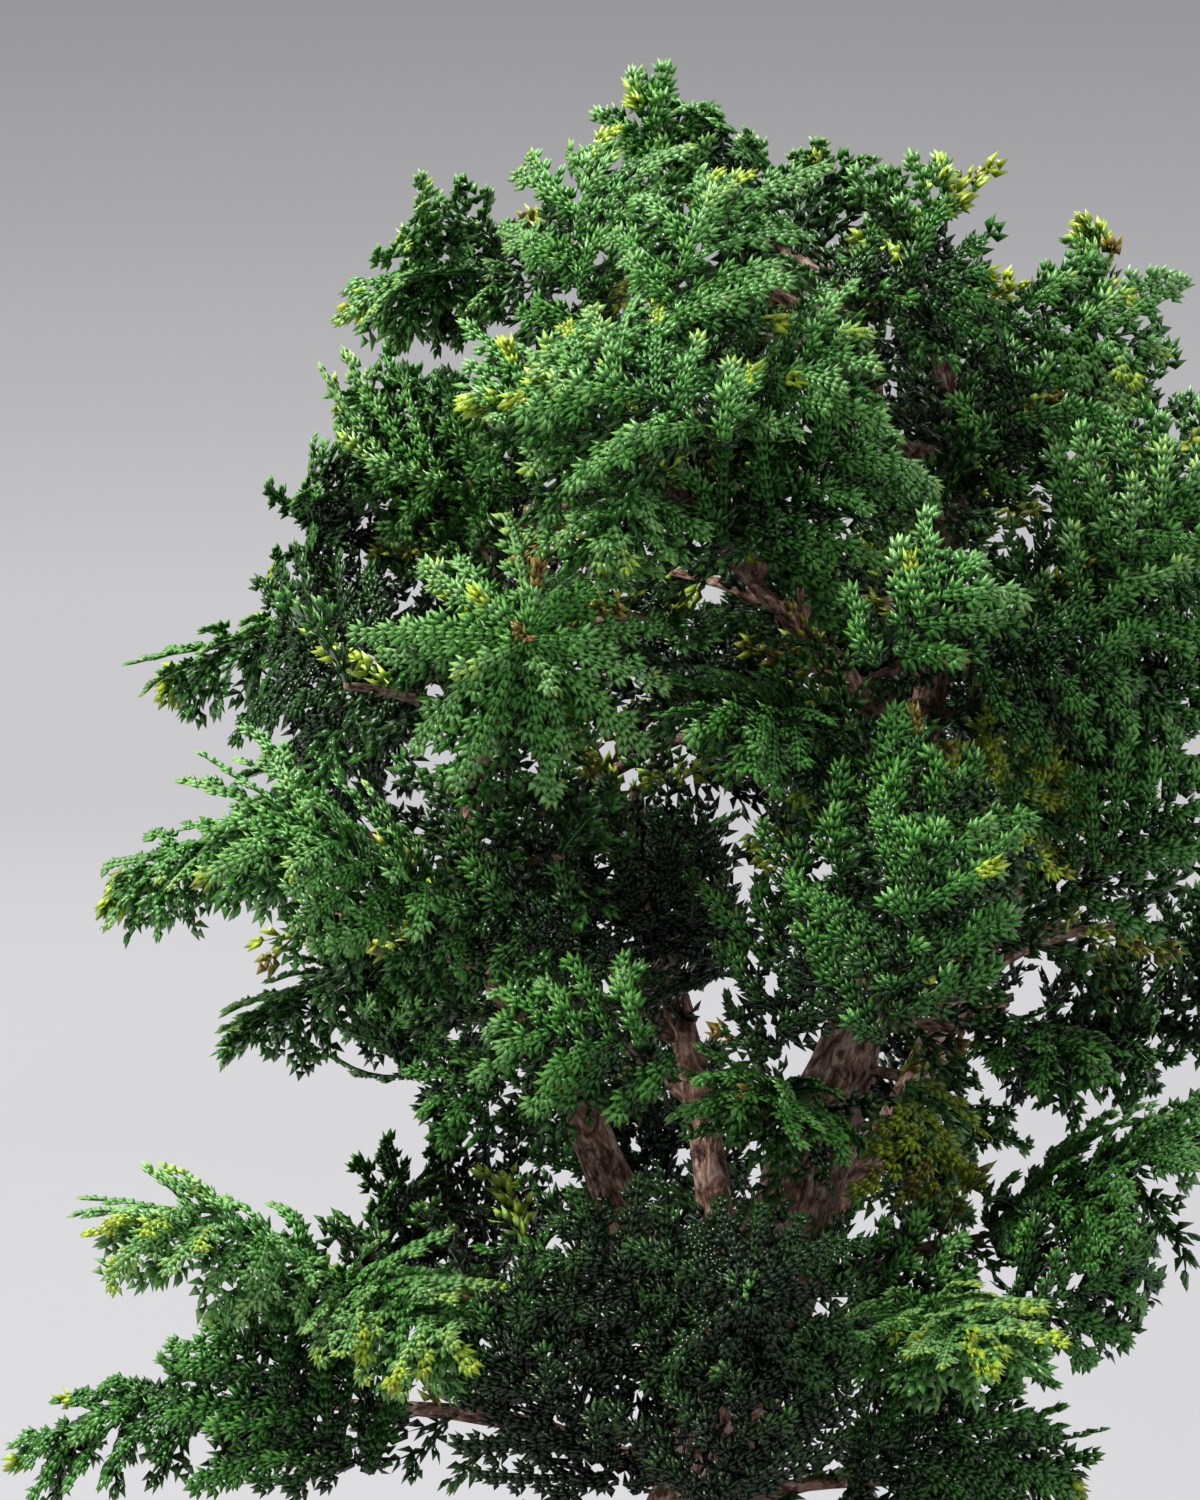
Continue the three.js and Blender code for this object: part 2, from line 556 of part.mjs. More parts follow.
/** Soil that fills the pot, lumpy on top and mounded to the trunk, with a plain hole for the root. */
function soilSolid() {
  const bottom = potFloor + SCREEN.thickness + 2 * CLEARANCE;
  const top = POT.height - SOIL.rimDrop;
  const bend = innerRadius - CLEARANCE - 3; // radius at the waist of the pot's wall
  const slope = (rimRadius - POT.taper - 3 - bend) / (waist - potFloor);
  const rings = [
    [0, bottom], [bend + slope * (waist - bottom) - 0.6, bottom],
    [bend, waist], [bend + 2, POT.height - POT.band - 1.2],
  ];
  for (let i = 0; i < SOIL.rings; i++) {
    const share = 1 - i / SOIL.rings;
    rings.push([(bend + 2) * share, top + SOIL.crown * (1 - share * share)]);
  }
  rings.push([0, top + SOIL.crown]);
  const turned = ovalLathe(rings, POT.sides);
  const position = turned.getAttribute("position");
  for (let i = 0; i < position.count; i++) {
    const [x, y, z] = [position.getX(i), position.getY(i), position.getZ(i)];
    const middle = Math.hypot(x, y) < 1;
    const lump = SOIL.lump * (2 * chance(Math.round(x * 10), Math.round(y * 10)) - 1);
    if (z > top - 1 && !middle) position.setZ(i, z + lump);
  }
  const filled = solidOf(turned).subtract(trunkSolid(CLEARANCE));
  return bodyNear(filled, new THREE.Vector3(0, 0, bottom));
}

// ---- Materials and the finished group ----

const material = (color, roughness) => new THREE.MeshStandardMaterial({ color, roughness, metalness: 0 });
const MATERIALS = {
  bark: material("#5b4038", 0.85),
  green: material("#1f5a26", 0.5),
  olive: material("#6d7224", 0.6),
  soil: material("#4a3a2c", 0.95),
  clay: material("#5d3f33", 0.7),
  plastic: material("#2b2b2b", 0.6),
};

function meshOf(name, solid, finish) {
  const mesh = new THREE.Mesh(geometryFrom(solid), finish);
  mesh.name = name;
  return mesh;
}

const bonsai = new THREE.Group();
bonsai.add(
  meshOf("pot", potSolid(), MATERIALS.clay),
  meshOf("drain_screen_left", screenSolid(-DRAIN.x), MATERIALS.plastic),
  meshOf("drain_screen_right", screenSolid(DRAIN.x), MATERIALS.plastic),
  meshOf("soil", soilSolid(), MATERIALS.soil),
  meshOf("wood", woodSolid(), MATERIALS.bark),
  ...foliageMeshes(),
);

// The plant leans out over one side of its pot, so the whole is moved to stand over the origin.
const middle = new THREE.Box3().setFromObject(bonsai).getCenter(new THREE.Vector3());
bonsai.position.set(-middle.x, -middle.y, 0);
bonsai.updateMatrixWorld(true);

export default bonsai;
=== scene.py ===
"""Dressed model of a small slanting hinoki cypress bonsai in an oval clay pot.

Sizes are millimetres in the plant's own frame, whose origin is under the middle of the pot
and +Z is up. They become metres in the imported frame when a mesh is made. All leaves are real
geometry: a shoot is a chain of whorls, and a whorl is two side leaves and one face leaf.
"""
from __future__ import annotations

import logging
import math
from dataclasses import dataclass, field, fields
from enum import Enum
from typing import Callable, Sequence, TypeVar

import bpy
import numpy as np
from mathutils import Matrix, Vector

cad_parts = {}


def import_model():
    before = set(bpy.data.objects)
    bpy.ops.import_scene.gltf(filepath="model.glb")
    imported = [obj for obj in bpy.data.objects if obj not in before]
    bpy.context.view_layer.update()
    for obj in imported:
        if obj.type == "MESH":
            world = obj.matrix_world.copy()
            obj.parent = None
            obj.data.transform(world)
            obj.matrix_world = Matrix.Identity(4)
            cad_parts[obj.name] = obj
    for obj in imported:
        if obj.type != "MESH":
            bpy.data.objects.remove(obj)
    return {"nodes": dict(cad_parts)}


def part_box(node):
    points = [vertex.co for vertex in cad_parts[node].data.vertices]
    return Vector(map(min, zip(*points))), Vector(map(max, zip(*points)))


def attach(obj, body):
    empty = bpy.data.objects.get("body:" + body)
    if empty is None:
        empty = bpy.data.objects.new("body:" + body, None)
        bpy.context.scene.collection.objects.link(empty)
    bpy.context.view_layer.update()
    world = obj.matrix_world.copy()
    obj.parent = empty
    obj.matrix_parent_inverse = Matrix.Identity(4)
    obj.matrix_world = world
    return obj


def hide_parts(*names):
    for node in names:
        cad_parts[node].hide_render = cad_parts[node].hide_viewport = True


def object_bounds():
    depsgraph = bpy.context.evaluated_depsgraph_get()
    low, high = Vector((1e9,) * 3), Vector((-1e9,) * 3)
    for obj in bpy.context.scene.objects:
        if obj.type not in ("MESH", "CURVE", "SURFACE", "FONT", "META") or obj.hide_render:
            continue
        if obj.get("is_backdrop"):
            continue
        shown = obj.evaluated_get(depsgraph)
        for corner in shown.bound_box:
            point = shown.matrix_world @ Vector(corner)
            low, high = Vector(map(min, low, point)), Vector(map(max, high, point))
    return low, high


Array = np.ndarray
Rng = np.random.Generator
Tree = bpy.types.NodeTree
Material = bpy.types.Material
Sockets = dict[str, bpy.types.NodeSocket]
Point = tuple[float, float, float]
Row = tuple[float, float, float, float]
Tones = tuple[tuple[float, str], ...]
Shine = tuple[tuple[str, float], ...]
Spray = tuple["Kind", float, float, float, float]
Group = TypeVar("Group")

MM = 0.001
UP = np.array([0.0, 0.0, 1.0])
TEXTURE = "OFBake"
log = logging.getLogger("bonsai")


# ---- Small helpers ----


def srgb(code: str) -> tuple[float, float, float, float]:
    """Turn an sRGB hex colour to the linear colour that a shader takes.

    Args:
        code: six hex digits with a leading hash.

    Returns:
        Linear red, green, blue and an alpha of one.
    """
    values = [int(code[i : i + 2], 16) / 255 for i in (1, 3, 5)]
    linear = [v / 12.92 if v <= 0.04045 else ((v + 0.055) / 1.055) ** 2.4 for v in values]
    return (*linear, 1.0)


def add_node(tree: Tree, kind: str, settings: dict | None = None, **links) -> bpy.types.Node:
    """Add one shader node.

    Args:
        tree: the node tree that gets it.
        kind: Blender's name of the node's type, after the word ShaderNode.
        settings: attributes and input values of the node by name, and the stops of a ramp.
        links: output sockets by the input that they go to: its name with _ for a space, or
            in and its number.

    Returns:
        The new node.
    """
    node = tree.nodes.new("ShaderNode" + kind)
    for key, value in (settings or {}).items():
        if key == "stops":
            ramp = node.color_ramp.elements
            while len(ramp) < len(value):
                ramp.new(0.5)
            for element, (place, code) in zip(ramp, value):
                element.position, element.color = place, srgb(code)
        elif hasattr(node, key) and key not in node.inputs:
            setattr(node, key, value)
        else:
            node.inputs[key].default_value = value
    for key, socket in links.items():
        name = int(key[2:]) if key[:2] == "in" and key[2:].isdigit() else key.replace("_", " ")
        tree.links.new(socket, node.inputs[name])
    return node


def put(name: str, data: bpy.types.ID) -> bpy.types.Object:
    """Put data into the scene as an object.

    Args:
        name: the object's name.
        data: a mesh, a light or a camera.

    Returns:
        The object.
    """
    thing = bpy.data.objects.new(name, data)
    bpy.context.scene.collection.objects.link(thing)
    return thing


def unit(v: Array) -> Array:
    """Scale vectors along the last axis to length one."""
    return v / np.maximum(np.linalg.norm(v, axis=-1, keepdims=True), 1e-9)


def swung(start: Array, towards: Array, angle: Array) -> Array:
    """Turn a vector by an angle towards one at right angles: start times cos plus towards times sin."""
    return start * np.cos(angle) + towards * np.sin(angle)


def stacked(groups: Sequence[Group]) -> Group:
    """Put groups of one kind, whose fields are arrays, into one."""
    kind = type(groups[0])
    return kind(*(np.concatenate([getattr(group, part.name) for group in groups]) for part in fields(kind)))


def chance(a: float, b: float) -> float:
    """A repeatable number from 0 to 1: the fraction of a large multiple of a sine."""
    x = math.sin(a * 12.9898 + b * 78.233) * 43758.5453
    return x - math.floor(x)


def value_noise(at: Array, seed: int) -> Array:
    """Smooth noise: hashed values at whole-number points, blended by a cubic step on each axis.

    Args:
        at: points of shape (..., 3), in units of the noise's grain.
        seed: picks one of many patterns.

    Returns:
        Values from -1 to 1 of shape (...).
    """
    cell = np.floor(at).astype(np.int64)
    part = at - cell
    part = part * part * (3 - 2 * part)
    total = np.zeros(at.shape[:-1])
    for corner in range(8):
        offset = np.array([corner & 1, corner >> 1 & 1, corner >> 2 & 1])
        x, y, z = np.moveaxis(cell + offset, -1, 0)
        mixed = (x * 374761393 + y * 668265263 + z * 1274126177 + seed * 974634777) & 0xFFFFFFFF
        mixed = ((mixed ^ (mixed >> 13)) * 1274126177) & 0xFFFFFFFF
        value = (mixed ^ (mixed >> 16)) / 2.0**31 - 1
        total += value * np.prod(np.where(offset == 1, part, 1 - part), axis=-1)
    return total


def turns(sides: int) -> Array:
    """Angles of points evenly round a ring, in radians."""
    return np.arange(sides) * 2 * np.pi / sides


def revolved(radius: Array, height: Array, sides: int, squeeze: float = 1.0) -> Array:
    """Carry a profile round the upright.

    Args:
        radius: the profile's distances from the upright.
        height: its heights.
        sides: points round.
        squeeze: the oval's width over its length.

    Returns:
        Points (r cos a, squeeze r sin a, z) of shape (profile, sides, 3).
    """
    ring = np.stack([np.cos(turns(sides)), np.sin(turns(sides)) * squeeze], -1)
    flat = radius[:, None, None] * ring[None]
    return np.concatenate([flat, np.broadcast_to(height[:, None, None], flat.shape[:2] + (1,))], -1)


def beside_pairs(spans: int, sides: int) -> tuple[Array, Array]:
    """Numbers of each point and of the next one round its ring, for all rings but the last."""
    i, k = np.meshgrid(np.arange(spans) * sides, np.arange(sides), indexing="ij")
    return (i + k).ravel(), (i + (k + 1) % sides).ravel()


def tube_faces(spans: int, sides: int) -> Array:
    """Triangles of a closed tube whose points go ring by ring, then its first and last end.

    Seen from outside they turn anticlockwise where the rings turn anticlockwise about the way
    that they follow each other.

    Args:
        spans: spans between rings.
        sides: points round a ring.

    Returns:
        Point numbers of shape (n, 3).
    """
    a, b = beside_pairs(spans, sides)
    k, n = np.arange(sides), (np.arange(sides) + 1) % sides
    top, foot = spans * sides, np.full(sides, (spans + 1) * sides)
    corners = ((a, b, b + sides), (a, b + sides, a + sides), (foot, n, k), (foot + 1, top + k, top + n))
    return np.concatenate([np.stack(three, 1) for three in corners])


@dataclass
class Surface:
    """Points with triangles, and if wanted two texture numbers or a stem vector a point."""

    points: Array
    faces: Array
    uv: Array | None = None
    stem: Array | None = None

    @staticmethod
    def joined(parts: Sequence["Surface"]) -> "Surface":
        """Put surfaces of one kind into one.

        Args:
            parts: the surfaces, which all have the same kinds of numbers a point.

        Returns:
            One surface with their points and triangles in order.
        """
        starts = np.cumsum([0] + [len(part.points) for part in parts[:-1]])
        faces = np.concatenate([part.faces + start for part, start in zip(parts, starts)])
        whole = lambda arrays: None if arrays[0] is None else np.concatenate(arrays)
        kinds = ("points", "uv", "stem")
        points, uv, stem = (whole([getattr(part, kind) for part in parts]) for kind in kinds)
        return Surface(points, faces, uv, stem)

    @staticmethod
    def bits(points: Array, shape: Array, u: Array | None = None, v: Array | None = None) -> "Surface":
        """Many small closed shapes of one kind.

        Args:
            points: their corners, of shape (shapes, corners, 3).
            shape: the triangles of one shape as numbers of corners.
            u: the first texture number of each corner.
            v: the second texture number of each corner.

        Returns:
            The shapes as one surface.
        """
        count, each = points.shape[:2]
        faces = (np.arange(count)[:, None, None] * each + np.array(shape)).reshape(-1, 3)
        uv = None if u is None else np.stack([u, v], -1).reshape(-1, 2)
        return Surface(points.reshape(-1, 3), faces, uv)


@dataclass
class Workshop:
    """Turns surfaces in the plant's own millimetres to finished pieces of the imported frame."""

    shift: Array

    def place(self, points: Array) -> Array:
        """Move points from the plant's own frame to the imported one, in metres."""
        return points * MM + self.shift

    def piece(
        self, name: str, surface: Surface, material: Material, slot: str,
        replaces: Sequence[str] = (), smooth: bool = True,
    ) -> bpy.types.Object:
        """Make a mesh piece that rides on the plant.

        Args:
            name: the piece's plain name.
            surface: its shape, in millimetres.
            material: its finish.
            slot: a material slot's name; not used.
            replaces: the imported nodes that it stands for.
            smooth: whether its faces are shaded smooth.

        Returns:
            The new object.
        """
        mesh = bpy.data.meshes.new(name)
        count, size = surface.faces.shape
        mesh.vertices.add(len(surface.points))
        mesh.vertices.foreach_set("co", self.place(surface.points).astype(np.float32).ravel())
        mesh.loops.add(count * size)
        mesh.loops.foreach_set("vertex_index", surface.faces.astype(np.int32).ravel())
        mesh.polygons.add(count)
        mesh.polygons.foreach_set("loop_start", np.arange(0, count * size, size, dtype=np.int32))
        mesh.polygons.foreach_set("use_smooth", np.full(count, smooth))
        if surface.uv is not None:
            uv = mesh.uv_layers.new(name=TEXTURE)
            uv.data.foreach_set("uv", surface.uv[surface.faces.ravel()].astype(np.float32).ravel())
        if surface.stem is not None:
            stem = mesh.attributes.new("stem", "FLOAT_VECTOR", "POINT")
            stem.data.foreach_set("vector", surface.stem.astype(np.float32).ravel())
        mesh.update(calc_edges=True)
        mesh.validate()
        mesh.materials.append(material)
        piece = put(name, mesh)
        for node in replaces:
            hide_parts(node)
        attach(piece, "root")
        log.info("%s: %d faces", name, count)
        return piece


# ---- Finishes ----


@dataclass(frozen=True)
class Finish:
    """What every finish has: the material's name and values of its shader's inputs."""

    name: str
    shine: Shine

    def pattern(self, tree: Tree) -> Sockets:
        """Add the finish's own nodes.

        Args:
            tree: the material's node tree.

        Returns:
            The sockets that go to the shader, by the names of its inputs.
        """
        raise NotImplementedError(tree)

    def material(self) -> Material:
        """Build the material: its shader's values, then its pattern.

        Returns:
            The material.
        """
        material = bpy.data.materials.new(self.name)
        material.use_nodes = True
        tree = material.node_tree
        shader = tree.nodes["Principled BSDF"]
        for key, value in self.shine:
            shader.inputs[key].default_value = value
        for key, socket in self.pattern(tree).items():
            tree.links.new(socket, shader.inputs[key])
        return material


@dataclass(frozen=True)
class LeafFinish(Finish):
    """Scale leaves of hinoki cypress: waxy, so a soft gloss lies over a deep green.

    The first texture number picks the tone, from near black through deep and bluish green and
    this year's bright tips to olive and dead leaves. Its darkest tones are old growth's colour and
    painted shade for the crown's inside and lower layers. The second runs from a leaf's base,
    darkened as painted shade under its neighbour, to its pale tip. Pale ends are young growth's,
    so the dark tones, painted shade among them, have none.
    """

    name: str = "Waxy scale leaf"
    shine: Shine = (
        ("Roughness", 0.5), ("Coat Weight", 0.9), ("Coat Roughness", 0.2), ("Specular IOR Level", 0.12),
    )
    tones: Tones = (
        (0.0, "#081e08"), (0.2, "#17460f"), (0.38, "#2c6f1e"), (0.5, "#479233"), (0.6, "#72b25c"),
        (0.67, "#8ec27a"), (0.78, "#cfea3e"), (0.86, "#9a9838"), (0.93, "#94702f"), (1.0, "#7c4c28"),
    )
    # Painted shade along a leaf: darkest at its base, under its neighbour.
    base_shade_tones: Tones = ((0.0, "#76827a"), (0.45, "#d0d8d0"), (1.0, "#ffffff"))
    tip_tone: str = "#9fc552"
    tip_share: float = 0.3
    tip_start: float = 0.6
    young_tone: float = 0.5

    def pattern(self, tree: Tree) -> Sockets:
        """Multiply the tone by the painted shade along the leaf, and mix in the pale end.

        Args:
            tree: the material's node tree.

        Returns:
            The sockets for the shader.
        """
        numbers = add_node(tree, "UVMap", {"uv_map": TEXTURE})
        split = add_node(tree, "SeparateXYZ", Vector=numbers.outputs["UV"])
        pick, run = split.outputs["X"], split.outputs["Y"]
        tone = add_node(tree, "ValToRGB", {"stops": self.tones}, Fac=pick)
        along = add_node(tree, "ValToRGB", {"stops": self.base_shade_tones}, Fac=run)
        product = {"data_type": "RGBA", "blend_type": "MULTIPLY", "Factor": 1.0}
        both = add_node(tree, "Mix", product, in6=tone.outputs["Color"], in7=along.outputs["Color"])
        ends = {"From Min": self.tip_start, "To Max": self.tip_share}
        near_tip = add_node(tree, "MapRange", ends, Value=run)
        young = add_node(tree, "MapRange", {"From Max": self.young_tone}, Value=pick)
        factors = {"in0": near_tip.outputs["Result"], "in1": young.outputs["Result"]}
        share = add_node(tree, "Math", {"operation": "MULTIPLY"}, **factors)
        lit = add_node(tree, "Mix", {"data_type": "RGBA"}, in0=share.outputs["Value"], in6=both.outputs[2])
        lit.inputs[7].default_value = srgb(self.tip_tone)
        return {"Base Color": lit.outputs[2]}


@dataclass(frozen=True)
class BarkFinish(Finish):
    """Cypress bark: reddish, in short fibrous plates that lift and weather to a greyish pink.

    A grain size is given round the stem and along it, in the stem's own millimetres.
    """

    name: str = "Fibrous cypress bark"
    shine: Shine = (("Roughness", 0.85),)
    tones: Tones = ((0.4, "#2e1c15"), (0.47, "#765346"), (0.53, "#a58072"), (0.61, "#d6bfb5"))
    plate_mm: tuple[float, float] = (1.7, 2.6)
    fibre_mm: tuple[float, float] = (0.5, 1.8)
    fibre_share: float = 0.35
    relief_mm: float = 1.1

    def pattern(self, tree: Tree) -> Sockets:
        """Plates give the tone and most of the relief, and fibres break both up.

        Args:
            tree: the material's node tree.

        Returns:
            The sockets for the shader.
        """
        stem = add_node(tree, "Attribute", {"attribute_name": "stem"}).outputs["Vector"]
        noises = []
        for (across, along), distortion in ((self.plate_mm, 1.2), (self.fibre_mm, 0.3)):
            place = add_node(tree, "Mapping", {"Scale": (1 / across, 1 / across, 1 / along)}, Vector=stem)
            look = {"Scale": 1.0, "Detail": 5.0, "Roughness": 0.62, "Distortion": distortion}
            noises.append(add_node(tree, "TexNoise", look, Vector=place.outputs["Vector"]).outputs["Fac"])
        mix = {"data_type": "FLOAT", "Factor": self.fibre_share}
        height = add_node(tree, "Mix", mix, in2=noises[0], in3=noises[1]).outputs[0]
        tone = add_node(tree, "ValToRGB", {"stops": self.tones}, Fac=height)
        raised = add_node(tree, "Bump", {"Strength": 1.0, "Distance": self.relief_mm * MM}, Height=height)
        return {"Base Color": tone.outputs["Color"], "Normal": raised.outputs["Normal"]}


@dataclass(frozen=True)
class SpeckleFinish(Finish):
    """A matte mineral surface: tones mixed by noise, with a grain that also stands up."""

    tones: Tones
    patch_mm: float
    grain_mm: float
    relief_mm: float

    def pattern(self, tree: Tree) -> Sockets:
        """Broad patches tint the colour, and a fine grain roughens it.

        Args:
            tree: the material's node tree.

        Returns:
            The sockets for the shader.
        """
        place = add_node(tree, "TexCoord").outputs["Object"]
        noises = []
        for size, detail, rough in ((self.patch_mm, 6.0, 0.65), (self.grain_mm, 3.0, 0.7)):
            look = {"Scale": 1 / (size * MM), "Detail": detail, "Roughness": rough}
            noises.append(add_node(tree, "TexNoise", look, Vector=place).outputs["Fac"])
        tone = add_node(tree, "ValToRGB", {"stops": self.tones}, Fac=noises[0])
        raised = add_node(tree, "Bump", {"Strength": 0.8, "Distance": self.relief_mm * MM}, Height=noises[1])
        return {"Base Color": tone.outputs["Color"], "Normal": raised.outputs["Normal"]}


STONEWARE = SpeckleFinish(
    # Unglazed stoneware: fired clay, matte, with fine sand showing and faint kiln patches.
    "Unglazed stoneware", (("Roughness", 0.72),), ((0.3, "#4a3028"), (0.5, "#5f4035"), (0.7, "#755244")),
    patch_mm=14.0, grain_mm=0.7, relief_mm=0.12,
)
AKADAMA = SpeckleFinish(
    # Fired clay granules, damp and crumbly.
    "Damp clay granules", (("Roughness", 0.9),), ((0.3, "#2b1f18"), (0.5, "#4f3b2c"), (0.72, "#7d6048")),
    patch_mm=3.0, grain_mm=0.5, relief_mm=0.1,
)
MESH_PLASTIC = SpeckleFinish(
    # Moulded polyethylene: dull black with a faint mould grain.
    "Moulded black polyethylene", (("Roughness", 0.55),), ((0.3, "#1d1d1d"), (0.7, "#2f2f2f")),
    patch_mm=4.0, grain_mm=0.4, relief_mm=0.03,
)


@dataclass(frozen=True)
class PaperFinish(Finish):
    """Background paper whose colour is painted light and shade: matte, palest at the bend and greyer as it
    climbs the wall.

    The tones go by the distance from the upright through the middle, as a share of a radius.
    """

    name: str = "Matte paper with painted light"
    shine: Shine = (("Roughness", 0.95), ("Specular IOR Level", 0.1))
    radius_m: float = 3.4
    tones: Tones = (
        (0.15, "#a4a4a6"), (0.26, "#a6a6a8"), (0.43, "#b5b5b7"), (0.66, "#c4c4c6"), (0.75, "#b2b2b4"),
        (0.82, "#9e9ea1"), (0.9, "#808083"),
    )

    def pattern(self, tree: Tree) -> Sockets:
        """Flatten the place to its level part, whose length picks the tone.

        Args:
            tree: the material's node tree.

        Returns:
            The sockets for the shader.
        """
        place = add_node(tree, "TexCoord").outputs["Object"]
        level = add_node(tree, "Mapping", {"Scale": (1.0, 1.0, 0.0)}, Vector=place)
        far = add_node(tree, "VectorMath", {"operation": "LENGTH"}, in0=level.outputs["Vector"])
        share = add_node(tree, "MapRange", {"From Max": self.radius_m}, Value=far.outputs["Value"])
        # The tone by distance is painted light and shade: brightest where the wall bends, greyer near the
        # middle and up the wall.
        tone = add_node(tree, "ValToRGB", {"stops": self.tones}, Fac=share.outputs["Result"])
        return {"Base Color": tone.outputs["Color"]}


# ---- The plant's plan ----


class Kind(Enum):
    """How a spray of leaves grows from its branch."""

    FAN = "flat, with fronds on both sides of a rib"
    SHELL = "a fan that stands face outwards on a stalk"
    TUFT = "a ring of fronds round a stalk"


FAN, SHELL, TUFT = Kind


@dataclass(frozen=True)
class Branch:
    """A leafy branch: its stem, the height its twig leaves it, the twig's end, its tone and its sprays.

    A spray is its kind, the x, y and z that it reaches and how wide it is.
    """

    name: str
    stem: str
    height: float
    end: Point
    tone: float
    sprays: tuple[Spray, ...]


STEMS: dict[str, tuple[Row, ...]] = {
    "trunk": (
        (-4, 0, 26, 7), (-3.5, 0, 36, 10.5), (-2.5, 0, 42, 9.6), (0, 0, 52, 7.6), (3, -1, 64, 6.6),
        (8, -2, 80, 6), (14, -2, 98, 5.5), (19, 0, 115, 4.9), (23.5, 1, 128, 3.9), (28, 3, 141, 3),
        (31.5, 4, 156, 2.5), (34, 5, 173, 2.1), (36, 5, 189, 1.8), (37, 4, 204, 1.5), (35, 3, 216, 1.2),
        (32, 2, 225, 0.9),
    ),
    "left": (
        (6, -2, 75, 3), (2, -9, 90, 3.2), (-4, -11, 108, 2.9), (-8, -12, 119, 2.6), (-13.5, -14, 130, 2),
        (-20, -16, 140, 1.6), (-22, -18, 150, 1.4), (-23, -21, 160, 1.2), (-20, -26, 172, 1),
        (-17, -29, 180, 0.8),
    ),
    "back": (
        (10, 0, 86, 2.4), (8.5, 10, 98, 2.5), (6.5, 15, 114, 2.1), (3, 19, 131, 1.8),
        (-2.5, 21, 149, 1.6), (-9, 23, 165, 1.4), (-18, 26, 181, 1.1), (-25, 28, 194, 0.8),
    ),
    "right": (
        (15, 0, 98, 2.4), (21, 8, 107, 2.5), (29, 13, 116, 2.3), (36, 17, 129, 2), (44, 20, 144, 1.8),
        (51, 20, 159, 1.5), (56, 18, 176, 1.3), (59, 15, 196, 1.1), (57, 13, 210, 0.8),
    ),
    "front": (
        (34, 5, 171, 1.6), (27, -4, 172, 1.6), (21, -11, 179, 1.4), (14, -17, 186, 1.2),
        (6, -23, 195, 1), (0, -27, 203, 0.8),
    ),
    "upper": ((37, 4, 202, 1.2), (28, -4, 206, 1.1), (26, -6, 215, 1), (22, -7, 225, 0.8)),
}
